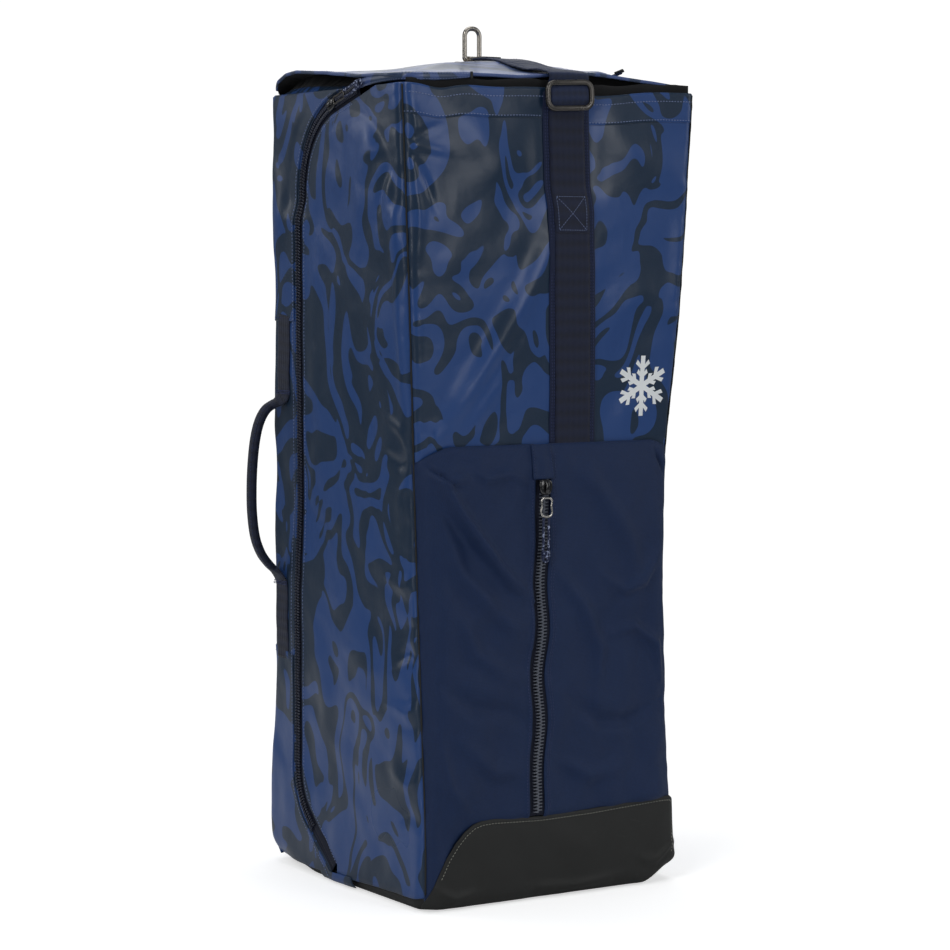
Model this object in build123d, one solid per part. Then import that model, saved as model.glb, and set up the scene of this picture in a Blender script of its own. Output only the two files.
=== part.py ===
from build123d import *
import math
import os

# A tall, free-standing ski gear bag. The rear shell (back, base, lid) carries the hang hook and the
# side handle. The front flap (front, pocket, gussets, strap) is hinged along the bottom front edge
# and closed by one zip up each side. Millimetres, +Z up, front towards -Y, origin under the base.

# ---- driving dimensions ----
RIM = 815.0                      # height of the body's upper rim
WALL = 3.0                       # coated fabric with its foam and lining
SECTIONS = (                     # height, half width, front y, back y
    (0, 155, -152, 168),
    (60, 153, -149, 176),
    (180, 151, -139, 171),
    (400, 154, -131, 162),
    (600, 167, -143, 137),
    (RIM, 178, -148, 121),
)
GAP = 0.5                        # between pieces that move past each other
FAR = 260.0                      # longer than any half size, for cutting prisms

TRAY_FLOOR, TRAY_LIP, TRAY_FRONT_LIP = 3.0, 14.0, 5.0
BOARD = 5.0                      # base board thickness
BACK_BOARD = 3.0
FLAP_FOOT = 8.0                  # lowest height of the front panel

LID_HALF, LID_FRONT, LID_BACK, LID_EDGE, LID_CROWN = 176.0, -141.0, 119.0, 828.0, 848.5
CROWN_HALF, CROWN_FRONT, CROWN_BACK = 75.0, -60.0, 65.0
LID_WALL, LID_RIM = 3.0, 2.0
SKIRT_START = 60.0               # the lid's skirt runs back from here on both sides

# side zip, seen from the side: a rise from the rim, a bend, a long run down, a bend at the foot
BEND, BEND_R, BEND_FROM, BEND_TO = (-42.0, 704.0), 100.0, 15.5, 83.75
RUN_Y, RUN_Z = 104.0, 290.0
FOOT_BEND, FOOT_R, FOOT_TURN = (19.0, 122.0), 85.0, 50.0
TAPE_EDGE, COIL_EDGE, CHAIN_GAP, ZIP_END_Z = 5.0, 2.6, 0.4, 36.0
PANEL_SPLIT_Z = 700.0            # rear side strip below, rim corner above

POCKET_FOOT, POCKET_TOP, POCKET_HALF, POCKET_CUT = 88.0, 460.0, 150.0, 16.0
POCKET_FACE = ((84.0, -156.5), (460.0, -146.5))      # height, y of the pocket's outer face
CHAIN_TOP, CHAIN_FOOT = (-11.0, 417.0), (-24.0, 92.0)  # x, height of the pocket zip's middle
POCKET_TAPE, TEETH, TEETH_GAP = 9.3, 4.8, 0.3
COVER_FOOT = 426.0
TOE_FACE = ((FLAP_FOOT, -154.5), (POCKET_FOOT, -157.5))

STRAP_TOP, STRAP_FOOT = (14.0, 812.0), (30.0, 462.0)   # x, height of the strap's middle
BACKING_W, RIBBED_W, LID_STRAP_W = 55.0, 42.0, 46.0
BACKING_T, WEBBING_T = 1.4, 1.6
HEM_DEPTH, HEM_T = 30.0, 1.0
RIBBED_TOP = 786.0

BUCKLE_Z, BUCKLE_W, BUCKLE_H, BUCKLE_T, BUCKLE_BAR = 808.5, 58.0, 31.0, 4.5, 5.5

HOOK_Y, HOOK_Z, HOOK_X, WIRE, BAIL_HALF, BAIL_RISE = 14.0, 853.0, 5.0, 5.0, 9.0, 33.0
PLATE = (46.0, 24.0, 1.4)

HANDLE_TOP, HANDLE_FOOT = (128.0, 492.0), (147.0, 318.0)   # y, height of its two ends
HANDLE_OFF, HANDLE_REACH, GRIP_R, HANDLE_STRIP = 9.0, 33.0, 5.0, 37.0

CORD, LOOP_W = 2.6, 6.4           # zip pull cord and the width of its loop
KNOT_R, KNOT_LENGTH = 3.6, 9.0
PULL_OFF = 4.8                   # the pulls hang this far out, so that their knots clear the chains


def at(z):
    """Half width, front y and back y of the body at one height."""
    z = min(max(z, 0), RIM)
    for low, high in zip(SECTIONS, SECTIONS[1:]):
        if z <= high[0]:
            t = (z - low[0]) / (high[0] - low[0])
            return [a + t * (b - a) for a, b in zip(low[1:], high[1:])]


def levels(z0, z1):
    return [z0, *(s[0] for s in SECTIONS if z0 < s[0] < z1), z1]


def on_line(line, z):
    """Value at height z on a line given as two (height, value) points."""
    (za, a), (zb, b) = line
    return a + (b - a) * (z - za) / (zb - za)


def prism_yz(points, x0, x1):
    return extrude(Plane.YZ.offset(x0) * Polygon(*points, align=None), amount=x1 - x0, dir=(1, 0, 0))


def prism_xz(points, y0, y1):
    return extrude(Plane.XZ.offset(-y1) * Polygon(*points, align=None), amount=y1 - y0, dir=(0, -1, 0))


def box(x0, x1, y0, y1, z0, z1):
    return Pos((x0 + x1) / 2, (y0 + y1) / 2, (z0 + z1) / 2) * Box(x1 - x0, y1 - y0, z1 - z0)


def one(shape):
    """The single solid of a boolean's result."""
    return shape.solids().sort_by(SortBy.VOLUME)[-1]


def save(shape, node):
    export_step(shape, f"parts/{node}.step")


def save_pair(shape, node):
    """A left piece and its mirror image on the right."""
    save(shape, f"{node}_left")
    save(mirror(shape, about=Plane.YZ), f"{node}_right")


# ---- layers of the body's walls ----
def front_layer(z0, z1, near, far, x0=-FAR, x1=FAR):
    zs = levels(z0, z1)
    points = [(at(z)[1] - near, z) for z in zs] + [(at(z)[1] - far, z) for z in reversed(zs)]
    return prism_yz(points, x0, x1)


def back_layer(z0, z1, near, far, x0=-FAR, x1=FAR):
    zs = levels(z0, z1)
    points = [(at(z)[2] + near, z) for z in zs] + [(at(z)[2] + far, z) for z in reversed(zs)]
    return prism_yz(points, x0, x1)


def side_layer(z0, z1, near, far, y0=-FAR, y1=FAR):
    """Layer on the left wall, between two distances outwards from its face."""
    zs = levels(z0, z1)
    points = [(-at(z)[0] - near, z) for z in zs] + [(-at(z)[0] - far, z) for z in reversed(zs)]
    return prism_xz(points, y0, y1)


def body_outline(z0, z1):
    """Everything as wide as the body at each height."""
    zs = levels(z0, z1)
    points = [(-at(z)[0], z) for z in zs] + [(at(z)[0], z) for z in reversed(zs)]
    return prism_xz(points, -FAR, FAR)


def between_walls(z0, z1):
    """Everything between the inner faces of the front and back walls."""
    zs = levels(z0, z1)
    points = [(at(z)[1] + WALL, z) for z in zs] + [(at(z)[2] - WALL, z) for z in reversed(zs)]
    return prism_yz(points, -FAR, FAR)


def round_point(centre, radius, degrees):
    """Point on a circle, the angle turned rearwards from straight up."""
    a = math.radians(degrees)
    return centre[0] + radius * math.sin(a), centre[1] + radius * math.cos(a)


def ahead_of_zip(shift):
    """Everything in front of the zip line, when the line is moved back by shift."""
    r, foot_r = BEND_R + shift, FOOT_R + shift
    bend = [round_point(BEND, r, d) for d in (BEND_FROM, (BEND_FROM + BEND_TO) / 2, BEND_TO)]
    turns = (90, 90 + FOOT_TURN / 2, 90 + FOOT_TURN)
    foot = [round_point(FOOT_BEND, foot_r, d) for d in turns]
    rise, fall = math.radians(BEND_FROM), math.radians(FOOT_TURN)
    start = (bend[0][0] - 90 * math.cos(rise), bend[0][1] + 90 * math.sin(rise))
    end = (foot[2][0] - 80 * math.sin(fall), foot[2][1] - 80 * math.cos(fall))
    edges = [
        Line(start, bend[0]),
        ThreePointArc(*bend),
        Polyline(bend[2], (RUN_Y + shift, RUN_Z), foot[0]),
        ThreePointArc(*foot),
        Polyline(foot[2], end, (-FAR, end[1]), (-FAR, start[1]), start),
    ]
    face = make_face(Wire([e for part in edges for e in part.edges()]))
    return extrude(Plane.YZ.offset(-FAR) * face, amount=2 * FAR, dir=(1, 0, 0))


# ---- rear shell ----
def base_tray():
    half, front, back = 154.5, SECTIONS[0][2], SECTIONS[0][3]
    tray = box(-half, half, front, back, 0, TRAY_LIP)
    tray -= box(-half + WALL, half - WALL, front + WALL, back - WALL, TRAY_FLOOR, FAR)
    tray -= box(-FAR, FAR, -FAR, front + WALL + 0.8, TRAY_FRONT_LIP, FAR)
    save(one(tray), "base_tray")
    board = box(-half + 4, half - 4, front + 6, back - 4, TRAY_FLOOR, TRAY_FLOOR + BOARD)
    save(fillet(board.edges().filter_by(Axis.Z), 12), "base_board")


def back_wall():
    save(one(back_layer(TRAY_LIP, RIM, -WALL, 0) & body_outline(TRAY_LIP, RIM)), "back_panel")
    board = back_layer(TRAY_LIP + 2, 780, -WALL - BACK_BOARD, -WALL, -120, 120)
    save(one(board), "back_stiffener")


def rear_sides():
    walls = between_walls(TRAY_LIP, RIM)
    wall = side_layer(TRAY_LIP, RIM, -WALL, 0) & walls
    rear = wall - ahead_of_zip(TAPE_EDGE)
    save_pair(one(rear & box(-FAR, 0, -FAR, FAR, 0, PANEL_SPLIT_Z)), "rear_side_panel")
    save_pair(one(rear & box(-FAR, 0, -FAR, FAR, PANEL_SPLIT_Z, RIM)), "rear_rim_corner")
    band = ahead_of_zip(TAPE_EDGE) - ahead_of_zip(CHAIN_GAP)
    save_pair(one(side_layer(TRAY_LIP, RIM, -2.2, -0.6) & walls & band), "rear_zip_tape")
    band = ahead_of_zip(COIL_EDGE) - ahead_of_zip(CHAIN_GAP)
    save_pair(one(side_layer(ZIP_END_Z, RIM, -0.6, 1) & walls & band), "rear_zip_coil")


def frustum(half, front, back, edge_z, drop, inset):
    """The lid's crowned outline as a block between its edge and its crown."""
    middle, depth = (front + back) / 2, back - front
    crown_middle, crown_depth = (CROWN_FRONT + CROWN_BACK) / 2, CROWN_BACK - CROWN_FRONT
    low = Pos(0, middle, edge_z) * Rectangle(2 * (half - inset), depth - 2 * inset)
    high = Pos(0, crown_middle, LID_CROWN - drop) * Rectangle(2 * CROWN_HALF, crown_depth)
    return loft([low, high], ruled=True)


def lid():
    rim = box(-LID_HALF, LID_HALF, LID_FRONT, LID_BACK, LID_EDGE, LID_EDGE + LID_RIM)
    shell = rim + frustum(LID_HALF, LID_FRONT, LID_BACK, LID_EDGE + LID_RIM, 0, 0)
    shell -= frustum(LID_HALF, LID_FRONT, LID_BACK, LID_EDGE, LID_WALL, LID_WALL)
    save(one(shell), "lid_panel")
    skirt = box(-LID_HALF, LID_HALF, SKIRT_START, LID_BACK, RIM, LID_EDGE)
    skirt -= box(-LID_HALF + WALL, LID_HALF - WALL, -FAR, LID_BACK - WALL, 0, FAR * 4)
    save(one(skirt), "lid_skirt")
    tab = Pos(96, -18, LID_CROWN - 0.4) * Rot(0, -14, 20) * box(0, 34, -6, 6, 0, 1.6)
    save(one(tab - frustum(LID_HALF, LID_FRONT, LID_BACK, LID_EDGE + LID_RIM, 0, 0)), "lid_pull_tab")


def hang_hook():
    """A wire bail that folds back, held by a riveted saddle plate."""
    plate_z = LID_CROWN + PLATE[2] / 2
    plate = fillet(Box(*PLATE).edges().filter_by(Axis.Z), 5)
    plate = Pos(HOOK_X, HOOK_Y, plate_z) * plate
    along_x = Pos(HOOK_X, HOOK_Y, HOOK_Z) * Rot(0, 90, 0)
    saddle = along_x * Cylinder(WIRE / 2 + 1.8, 11)
    foot = box(HOOK_X - 5.5, HOOK_X + 5.5, HOOK_Y - 4.3, HOOK_Y + 4.3, LID_CROWN, HOOK_Z)
    bore = along_x * Cylinder(WIRE / 2 + 0.3, 12)
    save(one(plate + saddle + foot - bore), "hook_plate")

    half, rise, r = BAIL_HALF, BAIL_RISE, BAIL_HALF - 1
    corner = 3.2
    start = (-half, corner)
    line = [
        Line(start, (-half, rise - r)),
        ThreePointArc((-half, rise - r), (-half + r - r * math.cos(math.pi / 4),
                                          rise - r + r * math.sin(math.pi / 4)), (-half + r, rise)),
        Line((-half + r, rise), (half - r, rise)),
        ThreePointArc((half - r, rise), (half - r + r * math.sin(math.pi / 4),
                                         rise - r + r * math.cos(math.pi / 4)), (half, rise - r)),
        Line((half, rise - r), (half, corner)),
        ThreePointArc((half, corner), (half - corner + corner * math.cos(math.pi / 4),
                                       corner - corner * math.sin(math.pi / 4)), (half - corner, 0)),
        Line((half - corner, 0), (-half + corner, 0)),
        ThreePointArc((-half + corner, 0), (-half + corner - corner * math.cos(math.pi / 4),
                                            corner - corner * math.sin(math.pi / 4)), start),
    ]
    path = Plane((HOOK_X, HOOK_Y, HOOK_Z), x_dir=(1, 0, 0), z_dir=(0, -1, 0)) * Wire(
        [e for part in line for e in part.edges()])
    bail = sweep(Plane(path.edges()[0] @ 0, z_dir=path.edges()[0] % 0) * Circle(WIRE / 2), path)
    save(one(bail), "hook_bail")

    rivets = []
    for x in (-17.5, 17.5):
        head = Pos(HOOK_X + x, HOOK_Y, LID_CROWN + PLATE[2]) * Cylinder(
            3, 1.2, align=(Align.CENTER, Align.CENTER, Align.MIN))
        rivets.append(head)
    save(Compound(children=[r.solids()[0] for r in rivets]), "hook_rivets")


def side_handle():
    """Two webbing strips sewn to the left side, and the grip loop that swings between them."""
    def strip(z0, z1):
        (za, ya), (zb, yb) = (z0, at(z0)[2] - 30), (z1, at(z1)[2] - 30)
        half = HANDLE_STRIP / 2
        points = [(ya - half, za), (yb - half, zb), (yb + half, zb), (ya + half, za)]
        return side_layer(z0, z1, 0, 1.6) & prism_yz(points, -FAR, 0)

    def lug(y, z0, z1):
        x = -at((z0 + z1) / 2)[0]
        return box(x - HANDLE_OFF - 4, x + 0.5, y - 7, y + 7, z0, z1) - side_layer(z0 - 1, z1 + 1, -9, 0)

    top_y, top_z = HANDLE_TOP
    foot_y, foot_z = HANDLE_FOOT
    save(one(strip(top_z + 9, 582) + lug(top_y, top_z + 9, top_z + 21)), "handle_upper_webbing")
    save(one(strip(232, foot_z - 9) + lug(foot_y, foot_z - 21, foot_z - 9)), "handle_lower_webbing")

    x_top, x_foot = -at(top_z)[0] - HANDLE_OFF, -at(foot_z)[0] - HANDLE_OFF
    def along(t, reach):
        return (x_top + t * (x_foot - x_top) - reach, top_y + t * (foot_y - top_y),
                top_z + t * (foot_z - top_z))
    route = [along(0.0, 0), along(0.11, 18), along(0.30, HANDLE_REACH - 8), along(0.52, HANDLE_REACH - 5),
             along(0.74, HANDLE_REACH - 9), along(0.9, 15), along(1.0, 0)]
    path = FilletPolyline(*route, radius=smooth_radii(route, 0.42))
    grip = sweep(Plane(path @ 0, z_dir=path % 0) * Circle(GRIP_R), path)
    save(one(grip), "handle_grip")


# ---- front flap ----
def front_wall():
    save(one(front_layer(FLAP_FOOT, RIM, -WALL, 0) & body_outline(FLAP_FOOT, RIM)), "front_panel")
    foot = TRAY_LIP + GAP
    walls = between_walls(foot, RIM)
    save_pair(one(side_layer(foot, RIM, -WALL, 0) & walls & ahead_of_zip(-TAPE_EDGE)), "front_gusset")
    band = ahead_of_zip(-CHAIN_GAP) - ahead_of_zip(-TAPE_EDGE)
    save_pair(one(side_layer(foot, RIM, -2.2, -0.6) & walls & band), "front_zip_tape")
    band = ahead_of_zip(-CHAIN_GAP) - ahead_of_zip(-COIL_EDGE)
    save_pair(one(side_layer(ZIP_END_Z, RIM, -0.6, 1) & walls & band), "front_zip_coil")
    hem = front_layer(RIM - HEM_DEPTH, RIM, 0, HEM_T) & body_outline(RIM - HEM_DEPTH, RIM)
    hem -= strap_prism(BACKING_W + 1, -FAR, FAR)
    save(Compound(children=list(hem.solids())), "front_rim_hem")
    collar = box(-170, 170, at(RIM)[1] + WALL + 0.6, at(RIM)[1] + WALL + 2.2, RIM - 18, RIM + 11)
    save(one(collar), "rim_collar")


def chain_x(z):
    return on_line(((CHAIN_FOOT[1], CHAIN_FOOT[0]), (CHAIN_TOP[1], CHAIN_TOP[0])), z)


def beside_chain(near, far, z0, z1):
    """Everything between two distances to one side of the pocket zip's middle line."""
    points = [(chain_x(z0) + near, z0), (chain_x(z1) + near, z1),
              (chain_x(z1) + far, z1), (chain_x(z0) + far, z0)]
    return prism_xz(points, -FAR, 0)


def pocket_layer(z0, z1, near, far):
    """Layer on the pocket's flat outer face."""
    points = [(on_line(POCKET_FACE, z) - d, z) for z, d in ((z0, near), (z1, near), (z1, far), (z0, far))]
    return prism_yz(points, -FAR, FAR)


def front_pocket():
    zs = levels(POCKET_FOOT, POCKET_TOP)
    points = [(at(z)[1], z) for z in zs]
    points += [(on_line(POCKET_FACE, z), z) for z in (POCKET_TOP, POCKET_FOOT)]
    half, top, cut = POCKET_HALF, POCKET_TOP, POCKET_CUT
    outline = [(-half, POCKET_FOOT), (-half, top - cut), (-half + cut, top), (half - cut, top),
               (half, top - cut), (half, POCKET_FOOT)]
    slab = prism_yz(points, -FAR, FAR) & prism_xz(outline, -FAR, 0)
    left = slab & beside_chain(-FAR, -POCKET_TAPE, POCKET_FOOT, top)
    right = slab & beside_chain(POCKET_TAPE, FAR, POCKET_FOOT, top)
    save(one(left), "pocket_panel_left")
    save(one(right), "pocket_panel_right")
    for side, sign in (("left", -1), ("right", 1)):
        tape = beside_chain(sign * POCKET_TAPE, sign * CHAIN_GAP, POCKET_FOOT, top)
        save(one(pocket_layer(POCKET_FOOT, top, -2.4, -0.9) & tape), f"pocket_zip_tape_{side}")
        teeth = beside_chain(sign * TEETH, sign * TEETH_GAP, POCKET_FOOT, COVER_FOOT)
        save(one(pocket_layer(POCKET_FOOT, COVER_FOOT, -0.9, 1.6) & teeth), f"pocket_zip_teeth_{side}")
    cover = beside_chain(-10.5, 10.5, COVER_FOOT + GAP, top)
    save(one(pocket_layer(COVER_FOOT + GAP, top, 0.1, 1.8) & cover), "pocket_zip_cover")


def toe_panel():
    """The black panel across the foot of the flap, its ends swept down to the floor."""
    (z0, y0), (z1, y1) = TOE_FACE
    points = [(at(z)[1], z) for z in levels(z0, z1)] + [(y1, z1), (y0, z0)]
    half, flat = 153.0, 112.0
    outline = [(-half, z0), (-half, 44), (-half + 16, 70), (-flat - 4, z1 - 3), (-flat, z1),
               (half - 18, z1), (half - 8, z1 - 6), (half, z1 - 20), (half, z0)]
    save(one(prism_yz(points, -FAR, FAR) & prism_xz(outline, -FAR, 0)), "toe_panel")


def strap_x(z):
    return on_line(((STRAP_FOOT[1], STRAP_FOOT[0]), (STRAP_TOP[1], STRAP_TOP[0])), z)


def strap_prism(width, y0, y1, z0=400.0, z1=900.0):
    half = width / 2
    points = [(strap_x(z0) - half, z0), (strap_x(z1) - half, z1),
              (strap_x(z1) + half, z1), (strap_x(z0) + half, z0)]
    return prism_xz(points, y0, y1)


def front_strap():
    foot = POCKET_TOP + GAP
    backing = front_layer(foot, RIM, 0, BACKING_T) & strap_prism(BACKING_W, -FAR, 0)
    save(one(backing), "strap_backing")
    ribbed = front_layer(foot, RIBBED_TOP, BACKING_T, BACKING_T + WEBBING_T)
    save(one(ribbed & strap_prism(RIBBED_W, -FAR, 0)), "strap_webbing")


def strap_face(z):
    """y of the outer face of the strap's backing."""
    return at(z)[1] - BACKING_T


def tilted_on_front():
    """Frame at the buckle's middle: x across the strap, y up along it, z out from the front."""
    lean = (STRAP_TOP[0] - STRAP_FOOT[0]) / (STRAP_TOP[1] - STRAP_FOOT[1])
    x = strap_x(BUCKLE_Z)
    return Plane((x, strap_face(BUCKLE_Z), BUCKLE_Z), x_dir=(1, 0, -lean), z_dir=(0, -1, 0))


def buckle():
    """A rounded frame with a middle bar, the strap folded over the bar."""
    frame = tilted_on_front()
    ring = Rectangle(BUCKLE_W, BUCKLE_H)
    ring = fillet(ring.vertices(), 10)
    hole = fillet(Rectangle(BUCKLE_W - 2 * BUCKLE_BAR, BUCKLE_H - 2 * BUCKLE_BAR).vertices(), 4)
    body = extrude(frame.offset(2.4) * (ring - hole), amount=BUCKLE_T)
    body = chamfer(body.edges().group_by(Axis.Y)[0], 0.8)
    save(one(body), "buckle_frame")
    bar = extrude(frame.offset(2.6) * Rectangle(BUCKLE_W - 2 * BUCKLE_BAR, 4), amount=2.6)
    save(one(bar), "buckle_bar")
    fold = fillet(Rectangle(LID_STRAP_W - 1, BUCKLE_H - 2 * BUCKLE_BAR - 1).vertices(), 4)
    fold = extrude(frame.offset(5.2) * fold, amount=1.4)
    save(one(fold), "strap_fold")


def lid_strap():
    """The strap's upper end, from the rim over the lid to the clip beside the hook."""
    tail = [(-157.0, 827.0), (-151.5, 834.0), (-141.5, 836.0), (-62.0, 853.0), (-9.0, 853.5)]
    low = [(y, z - WEBBING_T / 2) for y, z in tail]
    high = [(y, z + WEBBING_T / 2) for y, z in tail]
    low[0], high[0] = (-156.0, 826.4), (-158.0, 827.6)
    low[1], high[1] = (-150.8, 833.0), (-152.2, 835.0)
    half = LID_STRAP_W / 2
    x = STRAP_TOP[0]
    save(one(prism_yz(low + high[::-1], x - half, x + half)), "lid_strap")
    clip = fillet(Box(24, 15, 5).edges().filter_by(Axis.Z), 3)
    clip = Pos(x + 2, -0.8, 853.5) * clip - box(-FAR, FAR, -9.2, -8, 852.4, 854.6)
    save(one(clip), "strap_clip")


def emblem():
    """A plain six-armed snowflake, printed on the front."""
    middle_x, middle_z, arm, bar = 115.0, 516.0, 31.0, 5.4
    face = Circle(bar)
    for turn in range(0, 360, 60):
        face += Rot(0, 0, turn) * Pos(arm / 2, 0) * Rectangle(arm, bar)
        for side in (-50, 50):
            face += Rot(0, 0, turn) * Pos(arm * 0.56, 0) * Rot(0, 0, side) * Pos(6, 0) * Rectangle(12, 4.2)
    frame = Plane((middle_x, 0, middle_z), x_dir=(0, 0, 1), z_dir=(0, -1, 0))
    prism = extrude(frame * face, amount=FAR)
    save(one(prism & front_layer(440, 590, 0, 0.5)), "front_emblem")


# ---- sliders, pulls and cords ----
def smooth_radii(route, share):
    """Radii that make each bend as wide as its two runs allow, and a print of them."""
    points = [Vector(*p) for p in route]
    radii = []
    for a, b, c in zip(points, points[1:], points[2:]):
        turn = math.radians((b - a).get_angle(c - b))
        radii.append(share * min((b - a).length, (c - b).length) / math.tan(turn / 2))
    print("radii", [round(r, 1) for r in radii])
    return radii


def cord_tube(route, share=0.45):
    path = FilletPolyline(*route, radius=smooth_radii(route, share))
    tube = sweep(Plane(path @ 0, z_dir=path % 0) * Circle(CORD / 2), path)
    ratio = one(tube).volume / (math.pi * CORD**2 / 4 * path.length)
    print("cord length", round(path.length, 1), "volume over section times length", round(ratio, 4))
    return one(tube)


def loop_route(width, drop):
    """A hanging cord loop: down one side, a round turn, up the other; x across, y up."""
    half = width / 2
    return [(-half, 0), (-half - 0.5, -drop * 0.28), (-half + 0.4, -drop * 0.56), (-half, -drop * 0.82),
            (-half, -drop), (half, -drop), (half, -drop * 0.82), (half + 0.5, -drop * 0.56),
            (half - 0.4, -drop * 0.28), (half, 0)]


def pull_set(frame, width, length, drop, knot_at, names):
    """A wire or plate pull with its cord loop and knot, drawn in a frame: y towards the slider."""
    wire = 1.8
    ring = fillet(Rectangle(width, length).vertices(), width * 0.28)
    ring -= fillet(Rectangle(width - 2 * wire, length - 2 * wire).vertices(), width * 0.18)
    pull = extrude(frame * Pos(0, -length / 2) * ring, amount=wire)
    tube = cord_tube([frame.from_local_coords((x, y - length - 0.05, wire / 2))
                      for x, y in loop_route(LOOP_W, drop)])
    knot = Rot(90, 0, 0) * Cylinder(KNOT_R, KNOT_LENGTH)
    knot = fillet(knot.edges(), 1.6)
    knot = one(frame * Pos(0, -length - knot_at, wire / 2) * knot - tube)
    for shape, node in zip((one(pull), tube, knot), names):
        yield shape, node


def pocket_slider():
    drop = math.atan2(POCKET_FACE[1][1] - POCKET_FACE[0][1], POCKET_FACE[1][0] - POCKET_FACE[0][0])
    lean = (CHAIN_TOP[0] - CHAIN_FOOT[0]) / (CHAIN_TOP[1] - CHAIN_FOOT[1])
    out = Vector(0, -math.cos(drop), math.sin(drop))
    across = Vector(1, 0, -lean)
    start = Vector(CHAIN_TOP[0], on_line(POCKET_FACE, CHAIN_TOP[1]), CHAIN_TOP[1])
    frame = Plane(start, x_dir=across, z_dir=out)
    body = Rectangle(16, 14)
    body = fillet(body.vertices(), 4)
    body = extrude(frame.offset(1.9) * body, amount=3.2)
    bridge = extrude(frame.offset(5.1) * Rectangle(5, 11), amount=2.2)
    save(one(body + bridge), "pocket_slider")
    names = ("pocket_pull", "pocket_pull_cord", "pocket_pull_knot")
    hang = Plane(frame.from_local_coords((0, -9.5, PULL_OFF)), x_dir=frame.x_dir, z_dir=frame.z_dir)
    for shape, node in pull_set(hang, 15.5, 21, 44, 37, names):
        save(shape, node)


def side_slider():
    """The left side zip's slider at the top of its bend, its pull lying forwards along the chain."""
    out = Vector(-(RIM - 600), 0, -11).normalized()
    ahead = Vector(0, -1, 0)
    y, z = round_point(BEND, BEND_R, BEND_FROM)
    face = Plane((-at(z)[0], y, z), x_dir=ahead, z_dir=out)
    rise = math.radians(BEND_FROM)
    frame = Plane(face.origin, x_dir=ahead * math.cos(rise) + face.y_dir * math.sin(rise), z_dir=out)
    body = extrude(frame.offset(1.4) * fillet(Rectangle(15, 11).vertices(), 3), amount=3.4)
    bridge = extrude(frame.offset(4.8) * Rectangle(10, 3.6), amount=1.6)
    save_pair(one(body + bridge), "side_slider")
    pull_frame = Plane(frame.from_local_coords((10, 0, PULL_OFF)), x_dir=frame.y_dir, z_dir=out)
    names = ("side_pull", "side_pull_cord", "side_pull_knot")
    for shape, node in pull_set(pull_frame, 9, 24, 36, 29, names):
        save_pair(shape, node)


def main():
    os.makedirs("parts", exist_ok=True)
    base_tray()
    back_wall()
    rear_sides()
    lid()
    hang_hook()
    side_handle()
    front_wall()
    front_pocket()
    toe_panel()
    front_strap()
    buckle()
    lid_strap()
    emblem()
    pocket_slider()
    side_slider()


main()
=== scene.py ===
"""Looks of a tall ski gear bag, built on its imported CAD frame. +Z up, front towards -Y.
Shapes are worked out in millimetres and turned into metres when a mesh is made."""
import bpy
import bmesh
import math
import numpy as np
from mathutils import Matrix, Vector


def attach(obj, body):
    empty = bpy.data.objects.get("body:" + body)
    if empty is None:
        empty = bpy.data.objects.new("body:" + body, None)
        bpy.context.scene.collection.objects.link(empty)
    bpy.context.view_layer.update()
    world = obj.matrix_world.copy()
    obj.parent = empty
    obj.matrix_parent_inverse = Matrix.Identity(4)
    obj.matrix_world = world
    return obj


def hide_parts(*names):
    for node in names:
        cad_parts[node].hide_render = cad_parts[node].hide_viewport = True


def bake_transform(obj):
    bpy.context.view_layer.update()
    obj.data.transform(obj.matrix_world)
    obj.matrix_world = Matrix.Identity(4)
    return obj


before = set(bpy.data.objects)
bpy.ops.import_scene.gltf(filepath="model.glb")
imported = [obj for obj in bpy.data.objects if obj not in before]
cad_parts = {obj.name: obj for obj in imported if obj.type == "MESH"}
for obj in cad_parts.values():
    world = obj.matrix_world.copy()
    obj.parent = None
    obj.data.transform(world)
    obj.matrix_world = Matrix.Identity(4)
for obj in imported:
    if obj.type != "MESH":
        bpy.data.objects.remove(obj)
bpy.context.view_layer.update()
MM = 0.001

# ---------------------------------------------------------------- camera
cam = bpy.data.objects.new("camera", bpy.data.cameras.new("camera"))
bpy.context.scene.collection.objects.link(cam)
bpy.context.scene.camera = cam
cam.data.lens, cam.data.sensor_width = 108.2, 36.0
cam.location = (-1.592, -2.533, 0.631)
cam.rotation_euler = (Vector((0, 0, 0.420)) - cam.location).to_track_quat("-Z", "Y").to_euler()

# ---------------------------------------------------------------- the body's shape
SECTIONS = np.array((            # height, half width, front y, back y
    (0, 155, -152, 168), (60, 153, -149, 176), (180, 151, -139, 171),
    (400, 154, -131, 162), (600, 167, -143, 137), (815, 178, -148, 121)), float)
RIM = 815.0
FRONT_R, BACK_R = 14.0, 15.0     # roundness of the upright corners
CORNER = FRONT_R * (1 - math.sqrt(0.5))
POCKET_TOP, POCKET_FOOT = 460.0, 88.0
TAPE = 8.6


def body(z):
    """Half width, front y and back y, smooth through the sections."""
    z = np.clip(np.asarray(z, float), 0, RIM + 12)
    h, v = SECTIONS[:, 0], SECTIONS[:, 1:]
    slope = np.gradient(v, h, axis=0)
    i = np.clip(np.searchsorted(h, z, side="right") - 1, 0, len(h) - 2)
    d = (h[i + 1] - h[i])
    t = np.clip((z - h[i]) / d, 0, 1)[..., None]
    d = d[..., None]
    p = ((2 * t**3 - 3 * t**2 + 1) * v[i] + (t**3 - 2 * t**2 + t) * d * slope[i]
         + (3 * t**2 - 2 * t**3) * v[i + 1] + (t**3 - t**2) * d * slope[i + 1])
    return p[..., 0], p[..., 1], p[..., 2]


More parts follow.
